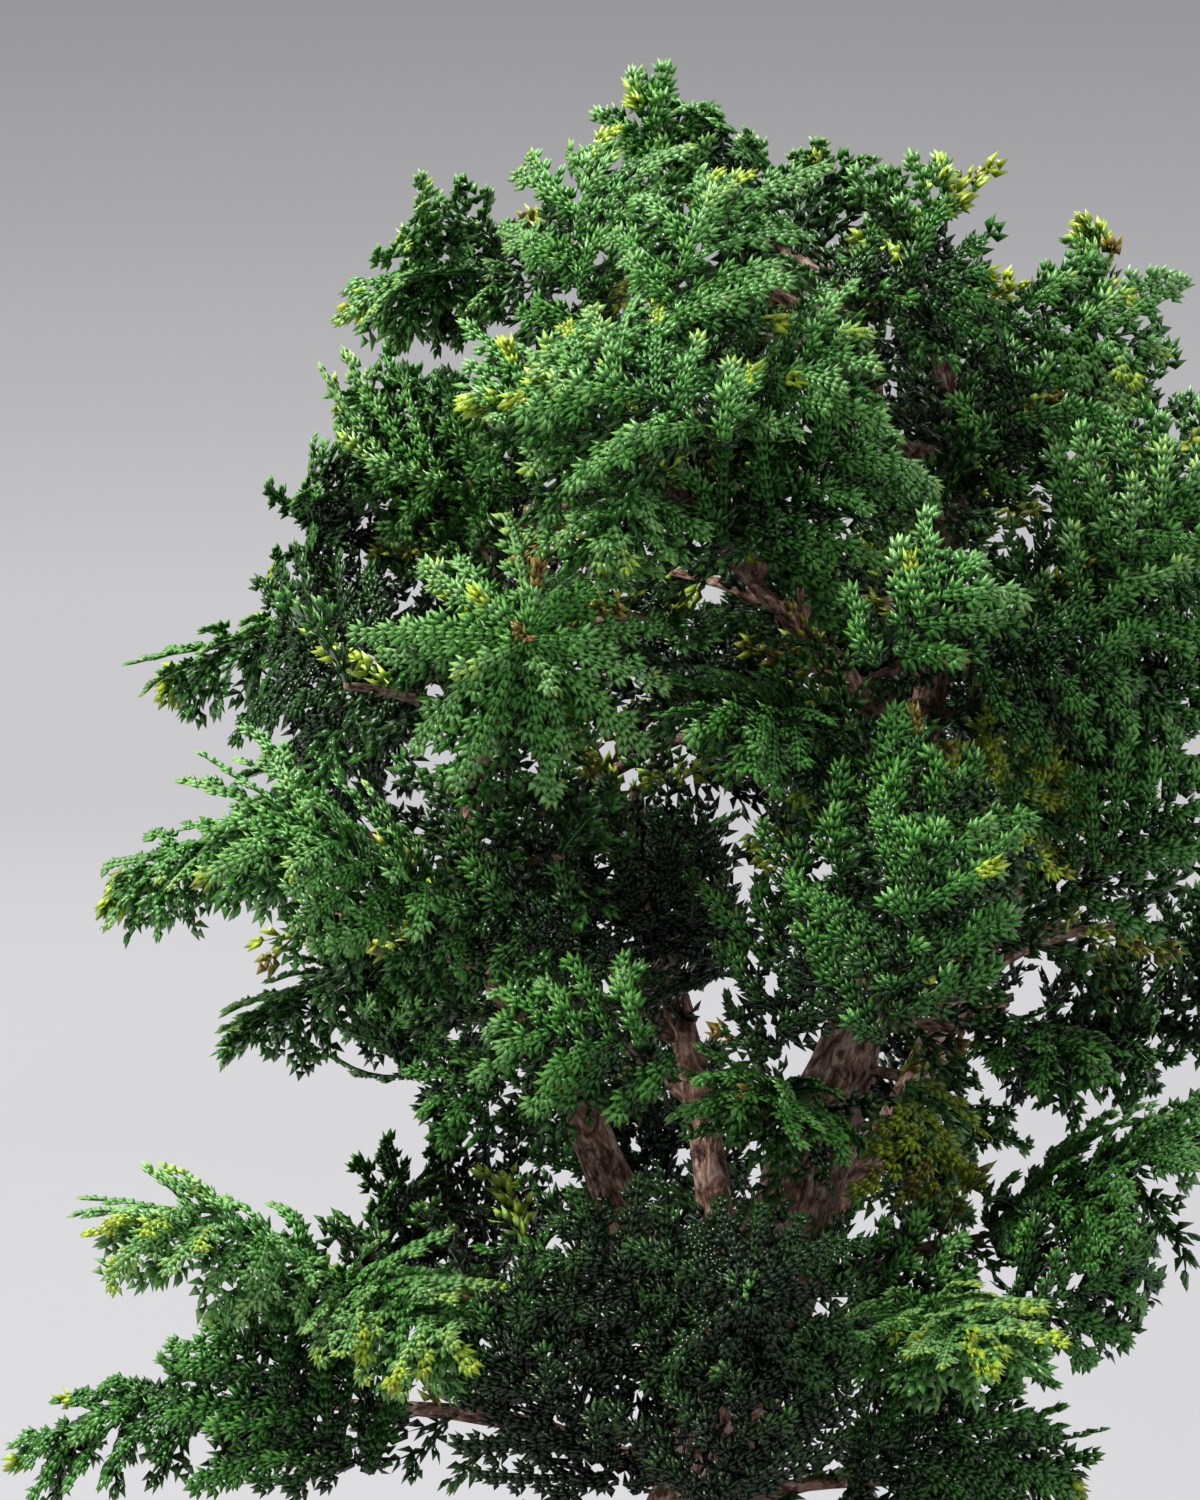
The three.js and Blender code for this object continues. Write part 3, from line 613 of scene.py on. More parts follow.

# Branch tones: the dark ones, low in the crown and inside it, are painted shade, and the light ones at the
# crown's top partly painted light. Tones above 0.8 are olive, the branches' own colour.
BRANCHES: tuple[Branch, ...] = tuple(Branch(*row[:5], row[5:]) for row in (
    ("apex", "upper", 224, (4, 2, 233), 0.54, (FAN, -3, -2, 249, 15), (SHELL, 7, 5, 242, 17)),
    ("crown_left", "upper", 222, (-16, 8, 225), 0.6, (FAN, -39, 14, 221, 20), (SHELL, -25, 15, 227, 24)),
    ("crown_centre", "upper", 219, (-1, -4, 226), 0.59, (SHELL, -8, -10, 230, 27)),
    ("crown_front", "upper", 213, (11, -20, 218), 0.59, (SHELL, 4, -31, 226, 27)),
    ("crown_back", "trunk", 218, (19, 22, 227), 0.54, (SHELL, 20, 30, 229, 27)),
    ("crown_sprig", "trunk", 224, (31, 3, 229), 0.58, (FAN, 35, 2, 238, 20)),
    ("crown_right", "trunk", 216, (34, -3, 221), 0.3, (SHELL, 32, -12, 224, 17)),
    ("right_top", "right", 209, (53, 13, 217), 0.6, (FAN, 55, 13, 231, 15), (SHELL, 52, 2, 219, 22)),
    ("right_upper", "right", 203, (49, 8, 209), 0.36, (SHELL, 43, -6, 206, 20)),
    ("right_far", "right", 198, (60, 24, 206), 0.58, (SHELL, 67, 32, 196, 29)),
    ("right_shoulder", "right", 187, (57, 8, 195), 0.56, (SHELL, 57, -8, 192, 31)),
    ("right_out", "right", 182, (64, 18, 189), 0.6, (SHELL, 83, 21, 181, 31)),
    ("right_arm", "right", 170, (60, 14, 176), 0.44, (SHELL, 62, 7, 174, 26)),
    ("front_tip", "front", 202.5, (-7, -29, 205), 0.55, (FAN, -22, -38, 211, 26)),
    ("front_face", "front", 196, (-1, -28, 200), 0.58, (FAN, -7, -46, 193, 20), (SHELL, -3, -44, 211, 27)),
    ("front_fan", "front", 193, (8, -26, 206), 0.55, (FAN, 24, -36, 219, 24)),
    ("mid_front", "front", 182, (17, -16, 193), 0.48, (SHELL, 17, -31, 200, 27)),
    ("upper_centre", "trunk", 177, (31, -10, 181), 0.54, (SHELL, 31, -45, 186, 18)),
    ("back_left_top", "back", 193, (-23, 28, 204), 0.58, (FAN, -40, 34, 209, 22),
     (SHELL, -28, 22, 201, 31)),
    ("back_left_mid", "back", 183, (-29, 30, 189), 0.4, (SHELL, -41, 32, 191, 31)),
    ("back_left_arm", "back", 168, (-39, 26, 179), 0.56, (FAN, -64, 31, 172, 22)),
    ("left_pad", "back", 164, (-30, 16, 175), 0.2, (SHELL, -39, 8, 177, 29)),
    ("rosette", "left", 179.5, (-17, -30, 176), 0.58, (TUFT, -16, -46, 183, 36)),
    ("left_fan", "left", 146, (-24, -26, 148), 0.54, (FAN, -53, -46, 161, 32)),
    ("left_far", "back", 144, (-41, 12, 155), 0.56, (FAN, -70, 14, 146, 24)),
    ("left_low_pad", "back", 128, (-25, 21, 136), 0.5, (FAN, -55, 31, 126, 24), (SHELL, -33, 18, 131, 27)),
    ("stem_low", "left", 144, (-19, -24, 147), 0.26, (SHELL, -16, -36, 149, 20)),
    ("low_fan", "left", 121, (-10, -20, 128), 0.5, (SHELL, -9, -48, 136, 22)),
    ("stem_pad", "left", 124, (-14, -17, 126), 0.38, (FAN, -28, -24, 125, 17)),
    ("centre_high", "trunk", 158, (23, -16, 167), 0.34, (FAN, 5, -48, 173, 24)),
    ("centre_face", "trunk", 152, (27, -14, 161), 0.36, (SHELL, 27, -42, 158, 28)),
    ("centre_left", "trunk", 140, (25, -12, 145), 0.3, (SHELL, 15, -36, 143, 22)),
    ("centre_right", "trunk", 138, (29, -10, 145), 0.4, (SHELL, 29, -57, 150, 28)),
    ("mid_sprig", "trunk", 118, (18, -8, 120), 0.4, (FAN, 9, -40, 127, 22)),
    ("inner_pad", "back", 140, (-3, 8, 161), 0.14, (SHELL, -2, -10, 150, 34), (SHELL, 2, -4, 179, 33)),
    ("olive_column", "trunk", 150, (36, 1, 155), 0.84, (SHELL, 43, -10, 161, 24)),
    ("olive_hang", "trunk", 126, (30, -3, 126), 0.86, (FAN, 34, -12, 111, 20)),
    ("right_pad", "right", 160, (51, 12, 167), 0.36, (SHELL, 47, -18, 178, 23)),
    ("right_low", "right", 152, (54, 14, 158), 0.46, (SHELL, 57, -12, 157, 27)),
    ("right_back", "right", 140, (56, 28, 141), 0.42, (SHELL, 68, 42, 132, 25)),
    ("right_under", "right", 128, (45, 24, 132), 0.38, (SHELL, 55, 34, 127, 24)),
    ("right_sprig", "trunk", 131, (38, -5, 132), 0.4, (FAN, 53, -22, 129, 18)),
    ("low_right_fan", "trunk", 96, (40, -12, 107), 0.44, (FAN, 66, -34, 121, 28),
     (SHELL, 50, -27, 104, 26), (SHELL, 29, -27, 104, 20)),
    ("low_left_fan", "left", 88, (-38, -22, 103), 0.65, (FAN, -67, -42, 113, 24), (FAN, -23, -54, 99, 22)),
    ("low_left_arm", "trunk", 74, (-41, -10, 86), 0.41, (FAN, -80, -10, 79, 22),
     (SHELL, -45, -26, 90, 29)),
    ("low_left_pad", "trunk", 90, (-17, 10, 102), 0.26, (SHELL, -26, 18, 103, 32)),
    ("low_front_left", "left", 90, (-6, -20, 102), 0.08, (SHELL, -4, -50, 107, 24),
     (SHELL, -12, -46, 93, 31)),
    ("low_front_right", "trunk", 88, (10, -15, 96), 0.09, (TUFT, 10, -60, 108, 27),
     (SHELL, 9, -54, 91, 30)),
    ("low_right_front", "trunk", 84, (25, -15, 94), 0.63, (FAN, 38, -58, 100, 26)),
    ("low_right_arm", "trunk", 70, (30, -8, 76), 0.3, (FAN, 51, -24, 79, 24), (SHELL, 32, -36, 86, 27)),
    ("rear_crown", "back", 190, (-8, 36, 196), 0.4, (SHELL, -2, 50, 206, 34), (SHELL, -26, 46, 192, 30)),
    ("rear_shoulder", "trunk", 195, (36, 24, 200), 0.4, (SHELL, 36, 46, 206, 34),
     (SHELL, 14, 44, 220, 25)),
    ("rear_middle", "trunk", 160, (24, 30, 166), 0.36, (SHELL, 20, 56, 170, 37), (SHELL, 48, 50, 170, 32)),
    ("rear_left", "back", 120, (-14, 38, 130), 0.38, (SHELL, -26, 54, 134, 34), (SHELL, -44, 50, 158, 32)),
    ("rear_low", "trunk", 92, (8, 34, 104), 0.34, (SHELL, 0, 62, 106, 37), (SHELL, 34, 54, 112, 34)),
))

# Places of this year's lime buds and of dry brown tips. The frond that ends nearest to each has one.
FRESH_TIPS: tuple[Point, ...] = (
    (-24, -44, 194), (-3, -52, 179), (-64, 31, 172), (-70, 14, 145), (-2, -2, 248), (-39, 14, 221),
    (-18, -34, 223), (-13, -38, 213), (-21, -38, 209), (21, 20, 237), (37, 2, 236), (55, 13, 231),
    (-37, 34, 212), (-50, 31, 187), (37, -58, 100), (38, -58, 107), (-34, -54, 99), (-57, -46, 156),
    (3, -36, 228), (12, -36, 218), (43, -12, 224), (57, 13, 224), (-74, -10, 88), (-79, -10, 78),
    (53, -24, 78), (30, -48, 193), (37, -57, 156), (69, 30, 185), (10, 50, 200), (-30, 50, 190),
    (60, 50, 180), (-2, 62, 120), (40, 60, 130), (-50, 48, 150), (76, 24, 190), (-60, 30, 130),
)
DRY_TIPS: tuple[Point, ...] = (
    (-65, -46, 155), (-70, 14, 150), (-16, -44, 188), (58, 4, 232), (31, -45, 176), (9, -40, 134),
)


@dataclass(frozen=True)
class Limb:
    """A stem as rows of x, y, z and radius, with a smooth line through them."""

    rows: tuple[Row, ...]

    def line(self, share: Array) -> Array:
        """Points of the centripetal Catmull-Rom curve through the rows.

        Between two rows the curve is the cubic whose end slopes come from the neighbouring
        rows, each weighed by the square root of the distance to them.

        Args:
            share: places from 0 to 1, with the rows evenly apart.

        Returns:
            Points of shape (n, 3).
        """
        rows = np.array(self.rows, float)[:, :3]
        padded = np.concatenate([[2 * rows[0] - rows[1]], rows, [2 * rows[-1] - rows[-2]]])
        place = np.clip(share, 0, 1) * (len(rows) - 1)
        at = np.minimum(place.astype(int), len(rows) - 2)
        weight = (place - at)[:, None]
        before, start, end, after = (padded[at + i] for i in range(4))
        gap = lambda a, b: np.maximum(np.linalg.norm(b - a, axis=1, keepdims=True) ** 0.5, 1e-3)
        first, middle, last = gap(before, start), gap(start, end), gap(end, after)
        slope = (start - before) / first - (end - before) / (first + middle) + (end - start) / middle
        slope_end = (end - start) / middle - (after - start) / (middle + last) + (after - end) / last
        slope, slope_end = slope * middle, slope_end * middle
        square = 3 * (end - start) - 2 * slope - slope_end
        cube = 2 * (start - end) + slope + slope_end
        return start + slope * weight + square * weight**2 + cube * weight**3

    def walk(self, first: float, last: float, steps: int) -> tuple[Array, Array]:
        """Points between two shares of the line, and the distance along it to each."""
        line = self.line(np.linspace(first, last, steps))
        return line, np.concatenate([[0], np.cumsum(np.linalg.norm(np.diff(line, axis=0), axis=1))])

    def at_height(self, height: float) -> Array:
        """The place and the radius on the straight lines between rows at a height."""
        columns = np.array(self.rows, float).T
        return np.array([np.interp(height, columns[2], column) for column in columns])

    def surface(self, sides: int, steps: int, relief: Callable[[Array, Array, Array], Array]) -> Surface:
        """A closed tube: rings of points round the line, with a point at each end.

        Args:
            sides: points round a ring.
            steps: spans along the line.
            relief: gives how far the skin stands out in mm, from the turn in radians, the
                distance along in mm and the radius in mm, all as grids.

        Returns:
            Triangles. Each point's stem vector is its place round the stem and the distance
            along it, in mm, so a pattern on it has no seam.
        """
        centre, run = self.walk(0, 1, steps + 1)
        tangent = unit(np.gradient(centre, axis=0))
        rest = np.eye(3)[np.argmin(np.abs(unit(centre[-1] - centre[0])))]
        normal = unit(rest - tangent * (tangent @ rest)[:, None])
        binormal = np.cross(tangent, normal)
        rows_at = np.linspace(0, 1, len(self.rows))
        thick = np.interp(np.linspace(0, 1, steps + 1), rows_at, [row[3] for row in self.rows])
        along, turn, radius = np.broadcast_arrays(run[:, None], turns(sides)[None], thick[:, None])
        out = radius + relief(turn, along, radius)
        ring = swung(normal[:, None], binormal[:, None], turn[..., None])
        points = (centre[:, None] + out[..., None] * ring).reshape(-1, 3)
        stem = np.stack([radius * np.cos(turn), radius * np.sin(turn), along], -1).reshape(-1, 3)
        ends = [[0, 0, 0], [0, 0, run[-1]]]
        points, stem = np.concatenate([points, centre[[0, -1]]]), np.concatenate([stem, ends])
        return Surface(points, tube_faces(steps, sides), stem=stem)


def twig_of(branch: Branch) -> Limb:
    """The twig that carries a leafy branch, a little arched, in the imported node's own sizes.

    Args:
        branch: the branch.

    Returns:
        The twig, from its stem to its leafy end.
    """
    *start, thick_stem = Limb(STEMS[branch.stem]).at_height(branch.height)
    start, tip = np.array(start), np.array(branch.end, float)
    length = float(np.linalg.norm(tip - start))
    middle = start + (tip - start) * 0.55 + UP * 0.06 * length
    thick = min(thick_stem * 0.8, 0.7 + 0.02 * length)
    return Limb(((*start, thick), (*middle, (thick + 0.7) / 2), (*tip, 0.7)))


def side_twigs() -> list[Limb]:
    """Thin twigs inside the crown, in a spiral up every stem, that carry only old growth.

    Returns:
        The twigs, stem by stem.
    """
    low, high, spacing, spiral = 132.0, 200.0, 11.0, 2.4
    twigs = []
    for number, rows in enumerate(STEMS.values()):
        line, run = Limb(rows).walk(0, 1, 200)
        for k, at in enumerate(np.arange(spacing / 2, run[-1], spacing)):
            start = np.array([np.interp(at, run, line[:, axis]) for axis in range(3)])
            if low < start[2] < high:
                turn = spiral * k + number
                length = 17 + 9 * chance(k, number)
                way = unit(np.array([math.cos(turn), math.sin(turn), 0.35]))
                middle, end = start + 0.5 * length * way + UP * 1.5, start + length * way
                twigs.append(Limb(((*start, 0.9), (*middle, 0.75), (*end, 0.5))))
    return twigs


@dataclass
class Wood:
    """The trunk with its limbs and twigs: one grown piece with fibrous bark."""

    shop: Workshop
    flutes: float = 0.14
    flute_length: float = 0.31

    def bark(self, turn: Array, along: Array, radius: Array) -> Array:
        """Relief of the bark: knobs, broken plates and slow swells, more on thick stems.

        Args:
            turn: turns round the stem in radians.
            along: distances along it in mm.
            radius: the stem's radii in mm.

        Returns:
            How far the bark stands out in mm.
        """
        grain = lambda wide, high: np.stack([np.cos(turn) * wide, np.sin(turn) * wide, along / high], -1)
        knobs, plates = value_noise(grain(1.6, 3.4), 3), value_noise(grain(2.2, 9) * 1.9, 8)
        depth = np.minimum(0.15 * radius, 0.8)
        return depth * (0.7 * knobs + 0.6 * plates) + 0.07 * radius * value_noise(grain(1, 16), 5)

    def trunk_bark(self, turn: Array, along: Array, radius: Array) -> Array:
        """Bark with four flutes at the foot that fade out upwards."""
        fade = np.maximum(0, 1 - along / (self.flute_length * along.max()))
        return self.bark(turn, along, radius) + self.flutes * radius * fade * np.cos(4 * turn)

    def build(self) -> None:
        """Make the piece."""
        trunk, *stems = (Limb(rows) for rows in STEMS.values())
        parts = [trunk.surface(56, 150, self.trunk_bark)]
        parts += [stem.surface(20, 60, self.bark) for stem in stems]
        parts += [twig_of(branch).surface(7, 8, self.bark) for branch in BRANCHES]
        parts += [twig.surface(6, 6, self.bark) for twig in side_twigs()]
        self.shop.piece("bark_skin", Surface.joined(parts), BarkFinish().material(), "bark", ["wood"])


# ---- Leaves ----


@dataclass
class Fronds:
    """Many fronds as arrays with a row each.

    A frond starts at root and grows along way with face upwards. Length is its rib's, width
    its longest side shoot's and curl the radians that it bends off its face. Cup lifts its
    side shoots, tone is its place on the leaf tones and grain the size of its leaves. Tip is
    the tone of the bud that it ends in, or zero.
    """

    root: Array
    way: Array
    face: Array
    length: Array
    width: Array
    curl: Array
    cup: Array
    tone: Array
    grain: Array
    tip: Array

    def rib(self, run: Array) -> tuple[Array, Array, Array]:
        """Places on the ribs, which bend off their faces evenly as they run.

        Args:
            run: distances from the roots in mm, with a row for each frond.

        Returns:
            The places, the ways there and the faces there.
        """
        curl = np.where(np.abs(self.curl) < 1e-3, 1e-3, self.curl)[:, None, None]
        length = self.length[:, None, None]
        bend = curl * run[..., None] / length
        way, face = self.way[:, None], self.face[:, None]
        centre = self.root[:, None] + (length / curl) * (way * np.sin(bend) - face * (1 - np.cos(bend)))
        return centre, swung(way, -face, bend), swung(face, way, bend)

    def ends(self) -> Array:
        """Where the ribs end."""
        return self.rib(self.length[:, None])[0][:, 0]

    def pinched(self, middle: Array, limits: Array) -> "Fronds":
        """Shorten each frond that would end further than limits from middle, in x or in y.

        Its length is scaled by the share of its way out that lies inside, so it keeps its bend.

        Args:
            middle: x and y of the middle, in mm.
            limits: how far ends may be from it in x and in y.

        Returns:
            The same fronds.
        """
        ends, roots = (np.abs(places[:, :2] - middle) for places in (self.ends(), self.root))
        inside = np.clip((limits - roots) / np.maximum(ends - roots, 0.1), 0.25, 1.0)
        share = np.where(ends > limits, inside, 1.0).min(axis=1)
        self.length, self.curl = self.length * share, self.curl * share
        return self

    def tipped(self, places: Sequence[Point], tone: float, near: float = 8.0) -> "Fronds":
        """Give a bud to the frond that ends nearest to each place, and to all that end close to it.

        Args:
            places: points where buds are wanted.
            tone: the buds' tone.
            near: how far the nearest may end from its place, in mm. Close is a third of that.

        Returns:
            The same fronds.
        """
        apart = np.linalg.norm(self.ends()[None] - np.array(places)[:, None], axis=-1)
        self.tip[apart.argmin(axis=1)[apart.min(axis=1) < near]] = tone
        self.tip[apart.min(axis=0) < near / 3] = tone
        return self


@dataclass
class Whorls:
    """Whorls of leaves on shoots: their place, the shoot's way and face, size, splay and tone."""

    centre: Array
    way: Array
    face: Array
    size: Array
    splay: Array
    tone: Array
    last: Array


@dataclass(frozen=True)
class LeafGrower:
    """Grows shoots and scale leaves on fronds.

    Pitch is the distance between whorls and gap the one between side shoots, which alternate,
    in mm. A leaf of size one reaches 1.3 mm along its shoot and one mm to the side of it. Leaves
    on a rib lie closer, by snug. Shoots with a grain over coarse have fewer leaves.
    """

    pitch: float = 1.15
    gap: float = 1.75
    snug: float = 0.7
    rib_radius: float = 0.3
    coarse: float = 1.35
    low_tone: float = 0.03
    high_tone: float = 0.96

    def grow(self, fronds: Fronds, rng: Rng) -> Surface:
        """All leaves and green stems of some fronds."""
        whorls, stems = self.shoots(fronds, rng)
        return Surface.joined([self.leaves(whorls, rng), stems, self.ribs(fronds)])

    def shoots(self, fronds: Fronds, rng: Rng) -> tuple[Whorls, Surface]:
        """Set whorls along each frond's rib and along side shoots on alternate sides.

        A side shoot leaves at about 55 degrees, less near the tip, and sweeps forward and a
        little down by the square of its length. Its length swells from the foot to the middle
        and falls again as a half sine.

        Args:
            fronds: the fronds.
            rng: the seeded draw.

        Returns:
            All whorls, and each side shoot's green stem: a slim wedge that ends at its tip.
        """
        length, grain, tip = fronds.length[:, None], fronds.grain[:, None], fronds.tip[:, None]
        # How much lighter fronds get towards their tips: young growth's colour and painted light.
        bright = np.where(fronds.tone > 0.8, -0.05, np.where(fronds.tone > 0.57, 0.04, 0.12))[:, None]
        pitch = self.pitch * grain
        longest = fronds.length.max()
        run = (np.arange(int(np.ceil(longest / self.pitch)))[None] + 0.2) * pitch
        on = run < length
        t = run / length
        centre, ahead, above = fronds.rib(run)
        # Rib tone: lighter towards the tip, and darker towards the frond's root as painted shade.
        tone = fronds.tone[:, None] + bright * t**2 - 0.14 * (1 - t) ** 2
        tone = np.where((tip > 0) & (t > 0.7), tip, tone)
        close = self.snug + (1 - self.snug) * t**3
        turned = self.alternate(above, ahead, np.arange(run.shape[1]), grain)
        rib = (centre, ahead, turned, grain * (1.2 - 0.1 * t), close, tone, run + pitch >= length)
        groups = [Whorls(*(part[on] for part in rib)), *self.buds(fronds)]

        step = np.arange(int(np.ceil(longest / self.gap)))[None]
        run = (step + 0.7 + rng.uniform(-0.12, 0.12, (len(length), step.size))) * self.gap * grain
        keep = run < length - 0.5
        t = np.clip(run / length, 0, 1)
        centre, ahead, above = fronds.rib(run)
        side = np.where((step + np.arange(len(length))[:, None]) % 2 == 0, 1.0, -1.0)
        angle = 0.98 - 0.34 * t + rng.uniform(-0.12, 0.12, t.shape)
        lift = fronds.cup[:, None] + rng.uniform(-0.16, 0.16, t.shape)
        beside = (np.sin(angle) * side)[..., None] * np.cross(above, ahead)
        out = unit(np.cos(angle)[..., None] * ahead + beside + lift[..., None] * above)
        reach = fronds.width[:, None] * (0.3 + 0.7 * np.sin(np.pi * (0.14 + 0.8 * t)))
        reach = np.maximum(reach * rng.uniform(0.72, 1.15, t.shape), 0.8 * pitch)
        # Side shoot tone: the same, with more painted shade towards the frond's root.
        tone = fronds.tone[:, None] + bright * t**2 - 0.2 * (1 - t) ** 2 + rng.uniform(-0.03, 0.03, t.shape)
        bowed = lambda far: centre + out * far + (ahead * 0.05 - above * 0.02) * far**2
        foot, end, face = centre[keep], bowed(reach[..., None])[keep], above[keep]
        thick = self.rib_radius * np.sqrt((grain + 0 * t)[keep])[:, None]
        wide = thick * np.cross(face, unit(end - foot))
        corners = (foot - wide, end, foot + wide, foot + thick * face)
        stems = self.wedges(corners, tone[keep], (0.3, 0.5, 0.3, 0.5))
        for j in range(int(np.ceil(reach.max() / self.pitch))):
            far = (0.72 + j) * pitch
            on = keep & (far < reach)
            forward = unit(out + ahead * 0.15 * far[..., None] - above * 0.06 * far[..., None])
            turned = unit(above - forward * np.sum(above * forward, -1, keepdims=True))
            turned = self.alternate(turned, forward, np.array([j]), grain)
            size = grain * (1.18 - 0.08 * t) * (1 - 0.04 * j)
            shoot = (
                bowed(far[..., None]), forward, turned, size, np.ones(t.shape), tone + bright * 0.3 * j,
                far + pitch >= reach,
            )
            groups.append(Whorls(*(part[on] for part in shoot)))
        return stacked(groups), stems

    def alternate(self, face: Array, way: Array, number: Array, grain: Array) -> Array:
        """Turn every second whorl of coarse shoots by a quarter, so they are full from all sides."""
        quarter = (number % 2 == 1)[None] & (grain > self.coarse)
        return np.where(quarter[..., None], np.cross(face, way), face)

    def buds(self, fronds: Fronds) -> list[Whorls]:
        """Two more whorls, turned a third of a circle each, round the end of each frond with a bud.

        Args:
            fronds: the fronds.

        Returns:
            The whorls, in two groups.
        """
        new = fronds.tip > 0
        centre, ahead, above = (part[new][:, 0] for part in fronds.rib(fronds.length[:, None] - 0.9))
        beside, every = np.cross(above, ahead), np.ones(len(centre))
        tone, size, splay = fronds.tip[new], 1.6 * every, 0.9 * every
        faces = (swung(above, beside, roll) for roll in turns(3)[1:])
        return [Whorls(centre, ahead, face, size, splay, tone, every > 0) for face in faces]

    def wedges(self, corners: Sequence[Array], tone: Array, length: Sequence[float]) -> Surface:
        """Closed wedges of four triangles.

        Args:
            corners: four arrays of points. Seen from the fourth, the first three turn
                anticlockwise.
            tone: a tone for each wedge, which becomes the first texture number.
            length: the second texture number of each corner.

        Returns:
            The wedges.
        """
        u = np.clip(tone, self.low_tone, self.high_tone)[:, None] + 0.012 * np.sin(np.arange(4) * 2.0)[None]
        v = np.broadcast_to(np.array([length]), u.shape)
        return Surface.bits(np.stack(corners, axis=1), [[0, 2, 1], [0, 1, 3], [1, 2, 3], [0, 3, 2]], u, v)

    def leaves(self, whorls: Whorls, rng: Rng) -> Surface:
        """Set two side leaves and a face leaf at each whorl, and one more at a shoot's end.

        A side leaf is broadest where it clasps the shoot and ends in a raised tip. A face
        leaf has two shoulders, a keel and a tip, and is left out of coarse shoots.

        Args:
            whorls: where the leaves grow.
            rng: the seeded draw.

        Returns:
            The leaves.
        """
        count = len(whorls.size)
        beside = np.cross(whorls.face, whorls.way)
        size = whorls.size[:, None] * rng.uniform(0.86, 1.14, (count, 1))
        tone = whorls.tone + rng.uniform(-0.04, 0.04, count)
        parts = []
        at = lambda x, y, z: whorls.centre + size * (x * whorls.way + y * beside + z * whorls.face)
        for side in (1.0, -1.0):
            wide = side * whorls.splay[:, None] * rng.uniform(0.85, 1.15, (count, 1))
            tip = at(1.12, 0.92 * wide, rng.uniform(-0.05, 0.4, (count, 1)))
            foot, outer = at(-0.3, -0.2 * side, -0.05), at(-0.04, 0.84 * wide, 0.0)
            edges = (outer, tip) if side < 0 else (tip, outer)
            lengths = (0.0, 0.45, 1.0, 0.5) if side < 0 else (0.0, 1.0, 0.45, 0.5)
            parts.append(self.wedges((foot, *edges, at(0.35, 0.4 * wide, 0.38)), tone, lengths))
        face_leaf = (at(0.1, -0.48, 0.1), at(1.1, 0, 0.34), at(0.1, 0.48, 0.1), at(0.2, 0, 0.56))
        end_leaf = (at(0.5, -0.46, 0), at(1.5, 0, 0.12), at(0.5, 0.46, 0), at(0.7, 0, 0.42))
        for corners, there, glow, lengths in (
            (face_leaf, whorls.size < self.coarse, 0.02, (0.3, 1.0, 0.3, 0.3)),
            (end_leaf, whorls.last, 0.04, (0.4, 1.0, 0.4, 0.5)),
        ):
            parts.append(self.wedges([corner[there] for corner in corners], tone[there] + glow, lengths))
        return Surface.joined(parts)

    def ribs(self, fronds: Fronds) -> Surface:
        """Each frond's rib: a three-sided tube that thins out, with a point at each end.

        Args:
            fronds: the fronds.

        Returns:
            The ribs.
        """
        spans, sides = 5, 3
        share = np.linspace(0, 1, spans + 1)[None]
        centre, ahead, above = fronds.rib(share * 0.96 * fronds.length[:, None])
        beside = np.cross(above, ahead)
        radius = (self.rib_radius * fronds.grain[:, None] ** 0.3 * (1 - 0.7 * share))[..., None]
        angles = (11 * np.pi / 6, 7 * np.pi / 6, np.pi / 2)
        ring = [centre + radius * swung(beside, above, turn) for turn in angles]
        rings = np.stack(ring, axis=2).reshape(len(centre), -1, 3)
        points = np.concatenate([rings, centre[:, [0, -1]]], 1)
        number = np.arange(points.shape[1])[None]
        u = np.clip(fronds.tone + 0.02, self.low_tone, self.high_tone)[:, None] + 0.01 * np.sin(number)
        return Surface.bits(points, tube_faces(spans, sides), u, 0.5 + 0.1 * np.cos(number) + 0 * u)


# A spray's layers of fronds: the angle of each off its sheet in radians, its fronds' length and
# number over the first layer's, and what is added to their tone. Below zero that is painted
# shade on the layers under the sheet; raised layers get a little lighter.
LAYERS = {
    FAN: (
        (0.0, 1.0, 1.0, 0.0), (0.5, 0.7, 0.7, 0.03), (1.0, 0.45, 0.4, 0.0), (-0.35, 0.85, 0.7, -0.2),
        (-0.9, 0.6, 0.6, -0.06),
    ),
    SHELL: ((0.0, 1.0, 1.0, 0.0), (0.7, 0.7, 0.7, 0.03), (-0.3, 0.95, 0.8, -0.26), (-0.8, 0.8, 0.5, -0.3)),
}

# A tuft's rings: the number of fronds, their angle, length, how far below the top they start in
# mm, and what is added to their tone: painted shade on the lower hanging ring, and a lift to dead
# brown for the two last, dry fronds. The wide hanging ones come first, then short raised ones.
RINGS = (
    (14, -0.1, 1.0, 0.0, 0.0), (12, -0.45, 0.95, 3.0, -0.24), (5, 0.5, 0.5, -0.6, 0.02),
    (1, 0.4, 0.95, -1.0, 0.02), (2, 1.2, 0.1, -1.2, 0.4),
)


